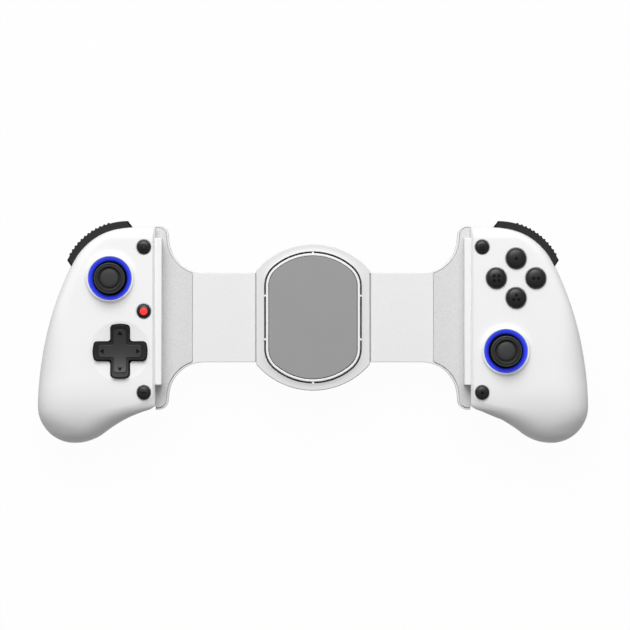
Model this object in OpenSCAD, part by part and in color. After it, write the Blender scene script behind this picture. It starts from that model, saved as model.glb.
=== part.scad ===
// Game controller that stretches and clamps a phone between its two grips.
// X runs along the stretch, +Y towards the shoulder buttons, +Z out of the control faces.
// The origin is the middle of the phone rest's face.
// Each grip piece is drawn for the right side; the left side is its mirror image.

/* [Phone bay] */
// Gap between the clamp pads with the bridge closed
phone_gap = 142; // [134:1:150]
// Height of the grip faces above the phone rest
face_h = 10.5; // [9.5:0.5:12]
// Thickness of a clamp pad
clamp_t = 3.2; // [2.6:0.2:4]
// Length of a clamp pad
clamp_len = 69; // [54:1:74]

/* [Bridge] */
// Outward travel of each grip
stretch = 20; // [14:1:20]
// Width of the centre housing
housing_w = 53.6; // [52:0.2:60]
// Length of the centre housing across the stretch
housing_len = 69; // [64:1:74]
// Radius of the centre housing's curved ends
housing_r = 35.2; // [34:0.2:42]
// Thickness of the housing covers
cover_t = 1.8; // [1.6:0.1:2.4]
// Width of the slider strips
strip_w = 42.2; // [38:0.2:44]
// Thickness of the slider strips
strip_t = 3; // [2.4:0.2:3.6]
// Reach of a wing from the grip towards the middle
wing_reach = 17.4; // [15:0.2:20]
// Half length of a wing beside its grip
wing_half = 43.5; // [42:0.1:44]
// Width of the slider's band beside a wing cover
wing_band = 0.9; // [0.8:0.1:1.6]
// Groove between that band and the wing cover
wing_gap = 0.3; // [0.2:0.05:0.4]
// Tooth module of the centring gear
gear_module = 0.7; // [0.6:0.1:0.8]
// Tooth count of the centring gear
gear_teeth = 18; // [16:2:20]

/* [Phone rest] */
// Width of the grey rest pad
rest_w = 41.6; // [36:0.2:43]
// Length of the grey rest pad
rest_len = 57.8; // [50:0.2:57.8]
// Width of the white rim around the pad
rim_w = 1.4; // [1:0.1:1.6]
// Width of the dark groove around the rim
groove_w = 0.7; // [0.5:0.1:0.8]

/* [Grip outline] */
// Half length of the flat inner wall
wall_half = 42.6; // [42.6:0.2:45]
// Radius of the shoulder corner
shoulder_r = 30.9; // [30:0.1:31.4]
// Shoulder centre, outward from the inner wall
shoulder_dx = 11.3; // [10.8:0.1:12]
// Radius of the long outer flank
flank_r = 140; // [120:5:180]
// Radius of the handle tip
tip_r = 17.2; // [16.4:0.2:18]
// Handle tip centre, outward from the inner wall
tip_dx = 38.4; // [37:0.2:40]
// Handle tip centre, below the bridge's middle line
tip_dy = 42.1; // [41.5:0.1:44]
// Radius of the hollow edge between handle and inner wall
neck_r = 140; // [110:5:200]

/* [Grip depth] */
// Wall thickness of the shells
wall = 1.8; // [1.6:0.1:1.9]
// Depth of the flat back behind the phone rest
back_depth = 17; // [16.6:0.2:19]
// Depth of the palm swell behind the phone rest
palm_depth = 26; // [24:0.5:30]
// Distance below the middle line where the face starts to roll off
roll_y = 29; // [27:1:32]
// Distance below the middle line of the deepest palm point
palm_y = 30; // [26:1:34]
// Depth of the handle tip behind the phone rest
tip_depth = 9.5; // [7:0.5:12]

/* [Controls] */
// Upper control cluster, outward from the inner wall
upper_dx = 21.1; // [20.6:0.1:22]
// Upper control cluster, above the middle line
upper_y = 18.4; // [18:0.1:19]
// Lower control cluster, outward from the inner wall
lower_dx = 16.3; // [16:0.1:18]
// Lower control cluster, below the middle line
lower_y = 15.8; // [14.6:0.2:16]
// Radius of a small button
small_r = 3.2; // [2.8:0.05:3.4]
// Small buttons, outward from the inner wall
small_dx = 5.2; // [5.2:0.1:6]
// Radius of a face button
face_r = 4.7; // [4:0.05:5]
// Face buttons, from the middle of their cluster
face_spread = 9.26; // [8.8:0.02:9.6]
// Press travel of the buttons
travel = 1.2; // [0.8:0.1:1.3]
// Span of the direction pad
dpad_span = 24.8; // [22:0.2:26]
// Width of a direction pad arm
dpad_arm = 8.9; // [8:0.1:10]
// Press travel of the shoulder bumpers
bumper_travel = 1.2; // [0.8:0.1:1.4]

/* [Sticks] */
// Outer radius of the light ring
ring_r = 10.1; // [9.8:0.1:10.4]
// Inner radius of the light ring
ring_in_r = 8; // [7.8:0.1:8.6]
// Radius of a stick cap
cap_r = 7.2; // [6.8:0.1:7.6]
// Height of a stick cap above the face
cap_h = 8.6; // [8.2:0.2:10]
// Depth of the stick pivot below the face
pivot_depth = 9.5; // [9.2:0.1:10]

/* [Hidden] */
$fn = 64;
slide_gap = 0.2;
key_gap = 0.15;
run_gap = 0.05;
white = [0.95, 0.95, 0.95];
pale = [0.90, 0.90, 0.90];
grey = [0.60, 0.60, 0.61];
dark = [0.16, 0.16, 0.17];
metal = [0.72, 0.73, 0.75];
board_green = [0.10, 0.33, 0.22];
silicone = [0.78, 0.78, 0.76];
blue = [0.12, 0.20, 0.95];

wall_x = phone_gap / 2 + clamp_t;
roof_z = face_h - wall;

// Levels of the bridge, from the rest's face downwards
rest_t = 1.4;
tray_t = 0.6;
rim_drop = 0.3;
housing_z = -0.8;
strip_top = housing_z - cover_t - slide_gap;
strip_low = strip_top - strip_t;
rack_top = strip_low - 0.3;
rack_low = rack_top - 2.7;
floor_z = rack_low - 0.4;
housing_low = floor_z - cover_t;
mouth_low = strip_low - slide_gap;
end_t = 2;
reach = housing_w / 2 - end_t - 0.8;

// Levels of the wings
wing_cover_t = 1.4;
recess = 0.8;
wing_top = strip_top - recess + wing_cover_t;
wing_low = strip_low - 3.2;
tab_t = 3.1;
tab_top = wing_low + tab_t;
seam_x = wall_x - wing_reach;
slider_screw_x = seam_x + 7.2;
slider_screw_y = 12;
wing_corner_r = 4.6;
wing_corner = [wall_x + wing_corner_r - 6, wing_half - wing_corner_r];
flare_x = seam_x - 5.3;
flare_r = wing_corner.x - flare_x - wing_corner_r - 0.2;
flare = [flare_x, strip_w / 2 + flare_r];

// Levels inside a grip
board_low = tab_top + 0.8;
board_t = 1.6;
board_w = 42;
board_up = 36;
board_down = 38;
switch_w = 3.5;
board_top = board_low + board_t;
split_z = board_top + 1.9;
key_low = board_top + 4.5;
mat_t = 1.3;
battery_dx = 11.5;
battery_w = 18;
battery_len = 30;
battery_t = 5.2;
inlet_len = 7.2;
seat_z = split_z - 7;

// Grip outline: arcs that run into each other
shoulder = [wall_x + shoulder_dx, wall_half - shoulder_r];
tip = [wall_x + tip_dx, -tip_dy];
corner = [wall_x, -wall_half];
flank = two_circles(shoulder, flank_r - shoulder_r, tip, flank_r - tip_r, -1);
neck = two_circles(tip, neck_r + tip_r, corner, neck_r, 1);
top_round = 6;

// Control positions
upper = [wall_x + upper_dx, upper_y];
lower = [wall_x + lower_dx, -lower_y];
small_x = wall_x + small_dx;
small_top_y = 33;
small_mid_y = 2.9;
small_low_y = -35.3;
face_step = [[0, 1], [1, 0], [0, -1], [-1, 0]];

// Screw posts and tab screws of a grip
posts = [
    [wall_x + 6.3, -27.5], [wall_x + 37, -23.5], [wall_x + 5.6, 12], [wall_x + 34, 5]
];
tab_screws = [[wall_x + 4.4, 19.5], [wall_x + 4.4, -19.5]];
wing_screws = [[wall_x - 4, 30], [wall_x - 4, -30]];
post_r = 3.6;
boss_r = 2.5;
screw_r = 0.95;
head_r = 1.9;
head_t = 1.2;

// Shoulder: bumper and trigger press along the line at this angle from +Y
press_turn = 33;
shoulder_hub = shoulder + [1.5, 2.45];
bumper_r = shoulder_r + 0.3;
bumper_in = 26;
bumper_half = 17;
bumper_low = -1;
bumper_top = face_h - 4;
trigger_r = 30;
trigger_in = 27;
trigger_top = bumper_low - 0.7;
trigger_low = -back_depth + 1;
pin_u = 21;
pin_z = -3.6;
pin_r = 1;
lug_in = 10.5;
lug_t = 2.5;

// Stick
pivot_z = face_h - pivot_depth;
dome_r = 11;
module_half = 5.9;
gimbal_r = 4.4;

// Direction pad
dpad_z = face_h - 4;
dish_r = 13.4;
dish_t = 0.45;
dpad_gap = 0.45;

function two_circles(a, ra, b, rb, side) =
    let (d = b - a)
    let (len = norm(d))
    let (m = (ra * ra - rb * rb + len * len) / (2 * len))
    let (h = sqrt(ra * ra - m * m))
    a + d * m / len + side * h * [-d.y, d.x] / len;

function arc(c, r, from, to, n) =
    [for (i = [0 : n]) let (a = from + (to - from) * i / n) c + r * [cos(a), sin(a)]];

function half_chord(r, d) = sqrt(max(0, r * r - d * d));
function limit(v) = min(1, max(0, v));
function quarter(t) = 1 - sqrt(max(0, 1 - t * t));
function ease(t) = let (s = limit(t)) s * s * (3 - 2 * s);
function meet(c, r, other) = c + r * (c - other) / norm(c - other);

// Outline of a grip, drawn in by e, as its two edges at a given y
function flank_top_y(e) = meet(shoulder, shoulder_r - e, flank).y;
function flank_low_y(e) = meet(tip, tip_r - e, flank).y;
function neck_y(e) = meet(tip, e - tip_r, neck).y;
function tip_low_y(e) = tip.y - tip_r + e;
function neck_x(y, e) = neck.x + half_chord(neck_r + e, y - neck.y);
function corner_y(e) = neck.y + half_chord(neck_r + e, wall_x + e - neck.x);

function outer_x(y, e) =
    y > flank_top_y(e) ? shoulder.x + half_chord(shoulder_r - e, y - shoulder.y)
    : y > flank_low_y(e) ? flank.x + half_chord(flank_r - e, y - flank.y)
    : tip.x + half_chord(tip_r - e, y - tip.y);

function inner_x(y, e) =
    y > neck_y(e) ? max(wall_x + e, neck_x(y, e)) : tip.x - half_chord(tip_r - e, y - tip.y);

function top_edge(y, e) = top_round * quarter(limit((y - wall_half + e + top_round) / top_round));
function roll(y, from, e) = limit((-from - y) / (-from - tip_low_y(e)));

function front_z(y, e) =
    face_h - e - top_edge(y, e) - (face_h - e + tip_depth) * quarter(roll(y, roll_y, e));

function palm_z(y) = -back_depth - (palm_depth - back_depth) * ease((8 - y) / (8 + palm_y));

function rear_z(y, e) =
    let (q = quarter(roll(y, palm_y, e)))
    (palm_z(y) + e) * (1 - q) - tip_depth * q + top_edge(y, e);

function bend(cx, cz, rx, rz, from, n) =
    [for (i = [0 : n]) let (a = from + 90 * i / n) [cx + rx * cos(a), cz + rz * sin(a)]];

// Half of a grip's cross-section at one y, from parting line to parting line:
// a soft outer edge, a crisp inner wall
function half_row(y, e, front) =
    let (x0 = inner_x(y, e))
    let (x1 = outer_x(y, e))
    let (z0 = rear_z(y, e))
    let (z1 = front_z(y, e))
    let (w = x1 - x0)
    let (h = z1 - z0)
    let (g = ease((6 - wall_half - y) / 24))
    let (p = ease((8 - y) / 40))
    let (fx = min(7 + 9 * p - e, 0.55 * w))
    let (fz = min(6.5 + 6 * p - e, 0.46 * h))
    let (bx = min(15 + 7 * p - e, 0.55 * w))
    let (bz = min(9 + 4 * p - e, 0.5 * h))
    let (ix = min(1.2 + 15 * g, 0.44 * w))
    let (iz = min(1.2 + 9 * g, 0.46 * h))
    let (jx = min(3 + 12 * g, 0.44 * w))
    let (jz = min(3 + 9 * g, 0.48 * h))
    let (part = split_z - (split_z + tip_depth) * ease(roll(y, roll_y, e)))
    let (zp = max(z0 + bz, min(z1 - fz, part)))
    front
    ? concat(
        [[x1, zp]], bend(x1 - fx, z1 - fz, fx, fz, 0, 6),
        bend(x0 + ix, z1 - iz, ix, iz, 90, 3), [[x0, zp]]
    )
    : concat(
        [[x0, zp]], bend(x0 + jx, z0 + jz, jx, jz, 180, 3),
        bend(x1 - bx, z0 + bz, bx, bz, 270, 6), [[x1, zp]]
    );

function stations(e) =
    let (y1 = flank_top_y(e))
    let (y2 = corner_y(e))
    concat(
        [for (a = [90 : -10 : 30]) shoulder.y + (shoulder_r - e) * sin(a)],
        [for (i = [0 : 8]) y1 + (y2 - y1) * i / 8],
        [for (a = [11, 22, 34, 46, 57, 67, 77, 86]) tip.y - (tip_r - e) * sin(a)]
    );

module right() {
    children();
}

module left() {
    mirror([1, 0, 0]) children();
}

// Front or rear half of a grip's shell, hollow, with a flat rim along the parting line
module half_shell(front) {
    rows = [for (e = [0, wall]) [for (y = stations(e)) [for (q = half_row(y, e, front)) [q.x, y, q.y]]]];
    last = len(rows[0]) - 1;
    n = len(rows[0][0]);
    in = (last + 1) * n;
    points = [for (side = rows) for (row = side) each row];
    skins = [
        for (i = [0 : last - 1]) for (j = [0 : n - 2])
        let (a = i * n + j)
        each [
            [a, a + n, a + n + 1], [a, a + n + 1, a + 1],
            [in + a, in + a + n + 1, in + a + n], [in + a, in + a + 1, in + a + n + 1]
        ]
    ];
    rims = [
        for (i = [0 : last - 1])
        let (a = i * n)
        let (b = a + n - 1)
        each [
            [a + n, a, in + a], [a + n, in + a, in + a + n],
            [b, b + n, in + b], [b + n, in + b + n, in + b]
        ]
    ];
    far = last * n;
    ends = [
        [for (j = [0 : n - 1]) j],
        [for (j = [n - 1 : -1 : 0]) in + j],
        [0, n - 1, in + n - 1, in],
        [for (j = [n - 1 : -1 : 0]) far + j],
        [for (j = [0 : n - 1]) in + far + j],
        [far + n - 1, far, in + far, in + far + n - 1]
    ];
    polyhedron(points, concat(skins, rims, ends));
}

// Frame of a shoulder: +Y is outward along the press line
module shoulder_frame() {
    translate(shoulder_hub) rotate(-press_turn) children();
}

// Room for a bumper and trigger; behind the trigger it narrows to its swing
module shoulder_notch() {
    shoulder_frame() difference() {
        translate([-bumper_half - 0.35, 15, -40])
            cube([2 * bumper_half + 0.7, 30, 40 + bumper_top + 0.3]);
        translate([0, 0, -41]) cylinder(r = trigger_in - 3.6, h = 41 + trigger_top - 8.3);
        translate([-30, 14, -41]) cube([60, 2.5, 60]);
    }
}

// Bores of a stick, light ring and all, through the front
module stick_hole(at) {
    translate([at.x, at.y, split_z]) cylinder(r = ring_r + 0.1, h = 40);
}

module stick_collar(at) {
    translate([at.x, at.y, 0]) rotate_extrude()
        polygon([
            [ring_r - 1, roof_z], [ring_r + 2.9, roof_z], [ring_r + 2.9, face_h],
            [ring_r + 0.9, face_h + 1.2], [ring_r - 1, face_h + 1.2]
        ]);
}

module key_hole(x, y, r) {
    translate([x, y, split_z]) cylinder(r = r + key_gap, h = 30);
}

module dpad_plan(grow) {
    intersection() {
        union() {
            square([dpad_span + 2 * grow, dpad_arm + 2 * grow], center = true);
            square([dpad_arm + 2 * grow, dpad_span + 2 * grow], center = true);
        }
        circle(r = dpad_span / 2 + grow);
    }
}

module dpad_hole() {
    translate([lower.x, lower.y, split_z]) linear_extrude(30) dpad_plan(dpad_gap);
    translate([lower.x, lower.y, face_h - dish_t]) cylinder(r = dish_r, h = 10);
}

// Charging inlet on the hollow lower edge of the right grip
inlet_y = -46.2;
inlet_x = neck_x(inlet_y, 0);
inlet_turn = asin((inlet_y - neck.y) / neck_r) - 90;
inlet_z = board_low - 1.63;

module inlet_frame() {
    translate([inlet_x, inlet_y, inlet_z]) rotate(inlet_turn) children();
}

module inlet_shape(grow, depth) {
    rotate([90, 0, 0]) linear_extrude(depth) {
        square([5.7, 3.2 + 2 * grow], center = true);
        for (s = [-1, 1]) translate([s * 2.85, 0]) circle(r = 1.6 + grow);
    }
}

module inlet_hole() {
    inlet_frame() translate([0, 8, 0]) inlet_shape(0.15, 12);
}

module front_shell() {
    color(white) difference() {
        union() {
            difference() {
                half_shell(true);
                shoulder_notch();
            }
            for (p = posts) translate([p.x, p.y, split_z])
                cylinder(r = boss_r, h = roof_z - split_z + 0.6);
            shoulder_frame() for (s = [-lug_in - lug_t, lug_in]) translate([s, 0, 0])
                rotate([90, 0, 90]) linear_extrude(lug_t) polygon([
                    [pin_u - 2, roof_z - 0.1], [pin_u - 2, pin_z - 2.2], [pin_u + 2.2, pin_z - 2.2],
                    [pin_u + 2.2, trigger_top], [pin_u, trigger_top], [pin_u, roof_z - 0.1]
                ]);
            children(0);
        }
        for (p = posts) translate([p.x, p.y, split_z - 1]) cylinder(r = screw_r + run_gap, h = 7);
        shoulder_frame() translate([-20, pin_u, pin_z]) rotate([0, 90, 0])
            cylinder(r = pin_r, h = 40);
        children(1);
    }
}

module left_front_shell() {
    left() front_shell() {
        stick_collar(upper);
        union() {
            stick_hole(upper);
            dpad_hole();
            for (y = [small_top_y, small_mid_y, small_low_y]) key_hole(small_x, y, small_r);
        }
    }
}

module right_front_shell() {
    right() front_shell() {
        stick_collar(lower);
        union() {
            stick_hole(lower);
            for (d = face_step) key_hole(upper.x + d.x * face_spread, upper.y + d.y * face_spread, face_r);
            for (y = [small_top_y, small_low_y]) key_hole(small_x, y, small_r);
            inlet_hole();
        }
    }
}

module rear_shell() {
    color(white) difference() {
        union() {
            difference() {
                half_shell(false);
                shoulder_notch();
            }
            for (p = posts) let (foot = rear_z(p.y, wall) - 0.6) translate([p.x, p.y, foot]) {
                cylinder(r = post_r, h = board_low - foot);
                cylinder(r = boss_r, h = split_z - foot);
            }
            for (p = tab_screws) let (foot = rear_z(p.y, wall) - 0.6) translate([p.x, p.y, foot])
                cylinder(r = 3.2, h = wing_low - foot);
        }
        for (p = posts) translate([p.x, p.y, -40]) {
            cylinder(r = screw_r + run_gap, h = 60);
            cylinder(r = head_r + 0.2, h = 40 + seat_z);
        }
        for (p = tab_screws) translate([p.x, p.y, -40]) {
            cylinder(r = screw_r + run_gap, h = 60);
            cylinder(r = head_r + 0.2, h = 40 + wing_low - 3.6);
        }
        for (p = tab_screws) translate([wall_x - 1, p.y - 3.1, wing_low - 0.1])
            cube([wall + 2, 6.2, tab_t + 0.2]);
        children();
    }
}

module left_rear_shell() {
    left() rear_shell();
}

module right_rear_shell() {
    right() rear_shell() inlet_hole();
}

module clamp_pad() {
    color(white) difference() {
        translate([wall_x - clamp_t, 2.8 - clamp_len / 2, wing_top + 0.3])
            cube([clamp_t, clamp_len, face_h - 1.2 - wing_top - 0.3]);
        for (s = [-1, 1]) translate([wall_x - clamp_t, 2.8 + s * clamp_len / 2, -10])
            rotate(45) cube([1.4, 1.4, 40], center = true);
    }
}

// Upper edge of a wing, drawn in by e: a round corner that runs into a hollow flare
function wing_turn() =
    let (d = flare - wing_corner)
    let (a = atan2(d.y, d.x))
    (a < 0 ? a + 360 : a) - acos((wing_corner_r + flare_r) / norm(d));

function wing_edge(e, end) = concat(
    [[wall_x, wing_half - e]],
    arc(wing_corner, wing_corner_r - e, 90, wing_turn(), 8),
    arc(flare, flare_r + e, wing_turn() - 180, end, 12)
);

function seam_turn(e, x) = -acos((x - flare.x) / (flare_r + e));

module both_halves(up) {
    polygon(concat(up, [for (i = [len(up) - 1 : -1 : 0]) [up[i].x, -up[i].y]]));
}

module wing_plan(e, from) {
    both_halves(wing_edge(e, seam_turn(e, from)));
}

module wing_cover() {
    color(pale) difference() {
        union() {
            translate([0, 0, strip_top - recess]) linear_extrude(wing_cover_t)
                wing_plan(wing_band + wing_gap, seam_x + wing_gap);
            for (p = wing_screws) translate([p.x, p.y, strip_low]) cylinder(r = 2, h = strip_t);
        }
        for (p = wing_screws) translate([p.x, p.y, strip_low - 1])
            cylinder(r = screw_r + run_gap, h = strip_t + 0.4);
    }
}

module wing_base() {
    color(pale) difference() {
        union() {
            translate([0, 0, wing_low]) linear_extrude(strip_low - wing_low) wing_plan(0, seam_x);
            for (p = tab_screws) translate([wall_x - 4, p.y - 3, wing_low]) cube([12, 6, tab_t]);
        }
        for (p = tab_screws) translate([p.x, p.y, wing_low - 1])
            cylinder(r = screw_r + run_gap, h = 3.4);
        for (p = wing_screws) translate([p.x, p.y, wing_low - 1]) {
            cylinder(r = head_r + 0.2, h = 2.3);
            cylinder(r = screw_r + run_gap, h = 10);
        }
        for (s = [-1, 1]) translate([slider_screw_x, s * slider_screw_y, wing_low - 1]) {
            cylinder(r = head_r + 0.2, h = 2.3);
            cylinder(r = screw_r + run_gap, h = 10);
        }
    }
}

// Straight-flanked rack teeth along X, tips towards -Y, with a gap at x = 0
module rack_plan(from, to) {
    pitch = PI * gear_module;
    pr = gear_module * gear_teeth / 2;
    half = pitch / 4 - 0.05;
    lean = tan(20);
    add = 0.9 * gear_module;
    ded = 1.3 * gear_module;
    first = ceil((from + 0.6) / pitch - 0.5);
    final = floor((to - 0.6) / pitch - 0.5);
    teeth = [
        for (i = [first : final])
        let (c = (i + 0.5) * pitch)
        each [
            [c - half - ded * lean, pr + ded], [c - half + add * lean, pr - add],
            [c + half - add * lean, pr - add], [c + half + ded * lean, pr + ded]
        ]
    ];
    polygon(concat([[from, pr + ded]], teeth, [[to, pr + ded], [to, pr + 4.2], [from, pr + 4.2]]));
}

// Slider of the left grip: a strip that flares out round the wing cover, its rack and peg on the +Y side
module slider_plate() {
    peg = reach - stretch - 1;
    color(pale) difference() {
        union() {
            translate([0, 0, strip_low]) mirror([1, 0, 0]) linear_extrude(strip_t)
                both_halves(concat(wing_edge(0, -90), [[0.15, strip_w / 2]]));
            translate([0, 0, rack_low]) linear_extrude(rack_top - rack_low)
                rack_plan(stretch - reach, reach - 0.4);
            translate([stretch - reach, gear_module * gear_teeth / 2 + 1.2, rack_low])
                cube([reach - stretch - 0.15, 3, strip_low - rack_low + 1]);
            translate([-peg, spring_y, rack_low]) cylinder(r = 1, h = strip_low - rack_low + 1);
        }
        translate([0, 0, strip_top - recess]) mirror([1, 0, 0]) linear_extrude(recess + 1)
            wing_plan(wing_band, seam_x);
        for (s = [-1, 1]) translate([-slider_screw_x, s * slider_screw_y, strip_low - 1])
            cylinder(r = screw_r + run_gap, h = strip_t - recess + 0.6);
        for (p = wing_screws) translate([-p.x, p.y, strip_low - 1]) cylinder(r = 2.1, h = strip_t + 2);
    }
}

spring_y = 16.5;
spring_r = 1.25;
wire_r = 0.22;

module left_slider() {
    slider_plate();
}

module right_slider() {
    rotate(180) slider_plate();
}

module centring_gear() {
    pr = gear_module * gear_teeth / 2;
    base = pr * cos(20);
    tip_at = pr + 0.9 * gear_module;
    root = pr - 1.3 * gear_module;
    inv20 = tan(20) * 180 / PI - 20;
    half = 90 / gear_teeth - 0.05 / pr * 180 / PI;
    steps = 4;
    side = [
        for (i = [0 : steps])
        let (r = base + (tip_at - base) * i / steps)
        let (t = acos(min(1, base / r)))
        [r, half + inv20 - (tan(t) * 180 / PI - t)]
    ];
    points = [
        for (k = [0 : gear_teeth - 1])
        let (c = 90 + 360 / gear_teeth * k)
        each concat(
            [root * [cos(c - side[0][1]), sin(c - side[0][1])]],
            [for (p = side) p[0] * [cos(c - p[1]), sin(c - p[1])]],
            [for (i = [steps : -1 : 0]) side[i][0] * [cos(c + side[i][1]), sin(c + side[i][1])]],
            [root * [cos(c + side[0][1]), sin(c + side[0][1])]]
        )
    ];
    color(grey) translate([0, 0, rack_low + 0.1]) difference() {
        linear_extrude(rack_top - rack_low - 0.2) polygon(points);
        translate([0, 0, -1]) cylinder(r = 2 + run_gap, h = 10);
    }
}

// Plan of the centre housing: each half has its own curved end
module housing_plan(grow) {
    for (turn = [0, 180]) rotate(turn) intersection() {
        translate([-housing_w / 2 - grow, -1]) square([housing_w + 2 * grow, housing_len]);
        translate([0, housing_len / 2 - housing_r]) circle(r = housing_r + grow);
    }
}

// Oval of the phone rest: two flat arcs and four tighter corners
function rest_quarter(grow) =
    let (a = rest_w / 2 + grow)
    let (b = rest_len / 2 + grow)
    let (r = 10.2 + grow)
    let (x = a - r)
    let (rise = 14.1 + grow - r)
    let (k = (x * x - rise * rise) / (2 * rise))
    let (y = b - 14.1 - grow)
    let (turn = atan2(k, x))
    concat(arc([x, y], r, 0, turn, 6), arc([0, y - k], k + rise + r, turn, 90, 6));

module rest_plan(grow) {
    q = rest_quarter(grow);
    last = len(q) - 1;
    polygon(concat(
        q,
        [for (i = [last - 1 : -1 : 0]) [-q[i].x, q[i].y]],
        [for (i = [0 : last]) [-q[i].x, -q[i].y]],
        [for (i = [last - 1 : -1 : 0]) [q[i].x, -q[i].y]]
    ));
}

// Bridge screws, midway between the sliders' mouth and the curved end
bridge_screw_x = housing_w / 2 - 8.8;
housing_end_y = housing_len / 2 - housing_r + half_chord(housing_r, bridge_screw_x);
bridge_screw_y = (strip_w / 2 + slide_gap + housing_end_y) / 2;
bridge_screws_at = [for (u = [1, -1]) for (v = [1, -1]) [u * bridge_screw_x, v * bridge_screw_y]];

module bridge_front_cover() {
    color(white) difference() {
        union() {
            translate([0, 0, housing_z - cover_t]) linear_extrude(cover_t) housing_plan(0);
            for (p = bridge_screws_at) translate([p.x, p.y, strip_low]) cylinder(r = 1.9, h = strip_t + 1);
        }
        translate([0, 0, -rest_t - tray_t]) linear_extrude(5) rest_plan(rim_w + groove_w + 0.15);
        for (p = bridge_screws_at) translate([p.x, p.y, strip_low - 1])
            cylinder(r = screw_r + run_gap, h = strip_t + 1);
    }
}

module bridge_rear_cover() {
    deep = housing_z - cover_t;
    color(white) difference() {
        union() {
            difference() {
                translate([0, 0, housing_low]) linear_extrude(deep - housing_low) housing_plan(0);
                translate([-housing_w / 2 - 1, -strip_w / 2 - slide_gap, mouth_low])
                    cube([housing_w + 2, strip_w + 2 * slide_gap, deep - mouth_low + 1]);
                translate([0, 0, floor_z]) linear_extrude(deep - floor_z + 1) intersection() {
                    housing_plan(-2.2);
                    square([housing_w - 2 * end_t, 2 * spring_y + 5], center = true);
                }
            }
            translate([0, 0, floor_z - 0.5]) cylinder(r = 2, h = rack_top - floor_z + 0.4);
            for (s = [-1, 1]) {
                translate([-reach, s * (gear_module * gear_teeth / 2 + 5.1) - 0.6, floor_z - 0.5])
                    cube([2 * reach + 0.8, 1.2, rack_top - 0.1 - floor_z + 0.5]);
                translate([s * (reach - 2.4), s * spring_y, floor_z - 0.5])
                    cylinder(r = 1, h = rack_top - floor_z + 0.4);
            }
        }
        for (p = bridge_screws_at) translate([p.x, p.y, housing_low - 1]) {
            cylinder(r = head_r + 0.2, h = 2.6);
            cylinder(r = screw_r + run_gap, h = 20);
            translate([0, 0, strip_low - housing_low + 0.9]) cylinder(r = 2, h = 20);
        }
    }
}

module pad_tray() {
    color(dark) translate([0, 0, -rest_t - tray_t]) linear_extrude(tray_t) rest_plan(rim_w + groove_w);
}

module pad_rim() {
    color(white) translate([0, 0, -rest_t]) {
        linear_extrude(rest_t - rim_drop) difference() {
            rest_plan(rim_w);
            rest_plan(0.05);
        }
        linear_extrude(0.4) difference() {
            union() {
                square([1.6, rest_len + 2 * rim_w + 2 * groove_w], center = true);
                for (y = [-10.3, 10.3]) translate([0, y])
                    square([rest_w + 2 * rim_w + 2 * groove_w, 1.2], center = true);
            }
            rest_plan(rim_w / 2);
        }
    }
}

module rest_pad() {
    color(grey) translate([0, 0, -rest_t]) linear_extrude(rest_t) rest_plan(0);
}

// Close-wound return spring along X, from its peg to its post
module return_spring() {
    turns = 9;
    per = 10;
    sides = 6;
    from = stretch - reach + 2;
    to = reach - 3.4;
    count = turns * per;
    mid_r = spring_r - wire_r;
    points = [
        for (i = [0 : count])
        let (a = 360 * i / per)
        let (x = from + wire_r + (to - from - 2 * wire_r) * i / count)
        for (j = [0 : sides - 1])
        let (b = 360 * j / sides)
        let (r = mid_r + wire_r * cos(b))
        [x + wire_r * sin(b), spring_y + r * cos(a), (rack_low + rack_top) / 2 + r * sin(a)]
    ];
    skin = [
        for (i = [0 : count - 1]) for (j = [0 : sides - 1])
        let (p = i * sides + j, q = i * sides + (j + 1) % sides)
        each [[p, q, q + sides], [p, q + sides, p + sides]]
    ];
    ends = [[for (j = [sides - 1 : -1 : 0]) j], [for (j = [0 : sides - 1]) count * sides + j]];
    color(metal) polyhedron(points, concat(skin, ends));
}

module left_return_spring() {
    return_spring();
}

module right_return_spring() {
    rotate(180) return_spring();
}

// Flat cable that rolls open between the two sliders
module ribbon_cable() {
    leg = 14.7;
    color(dark) translate([0, 0, rack_low + 0.2]) linear_extrude(rack_top - rack_low - 0.4) {
        translate([-3, leg]) square([reach - 1, 0.2]);
        translate([3, leg - 2]) square([reach - 7, 0.2]);
        translate([reach - 4, leg - 0.9]) intersection() {
            difference() {
                circle(r = 1.1);
                circle(r = 0.9);
            }
            translate([0, -2]) square(4);
        }
    }
}

// Pan-head screw, head down, its seat at the origin
module screw(length) {
    difference() {
        union() {
            translate([0, 0, -head_t]) cylinder(r = head_r, h = head_t);
            cylinder(r = screw_r, h = length);
        }
        for (a = [0, 90]) rotate(a) translate([0, 0, -head_t]) cube([2, 0.5, 1], center = true);
    }
}

module grip_screws() {
    color(metal) {
        for (p = posts) translate([p.x, p.y, seat_z]) screw(12);
        for (p = tab_screws) translate([p.x, p.y, wing_low - 3.6]) screw(5.6);
        for (p = wing_screws) translate([p.x, p.y, wing_low + 1.3]) screw(3.9);
        for (s = [-1, 1]) translate([slider_screw_x, s * slider_screw_y, wing_low + 1.3]) screw(3.5);
    }
}

module bridge_screws() {
    color(metal) for (p = bridge_screws_at) translate([p.x, p.y, housing_low + 1.6])
        screw(strip_low - housing_low + 1);
}

module bumper() {
    color(dark) shoulder_frame() translate([0, 0, bumper_low]) difference() {
        union() {
            intersection() {
                cylinder(r = bumper_r, h = bumper_top - bumper_low);
                translate([-bumper_half, 0, 0]) cube([2 * bumper_half, 40, 20]);
            }
            for (i = [0 : 11]) rotate(16 - i * 3.9) translate([0, bumper_r, 0])
                linear_extrude(bumper_top - bumper_low)
                    polygon([[-0.7, -0.5], [-0.6, 0.1], [-0.3, 0.5], [0.3, 0.5], [0.6, 0.1], [0.7, -0.5]]);
        }
        translate([0, 0, -1]) cylinder(r = bumper_in, h = 20);
    }
}

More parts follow.
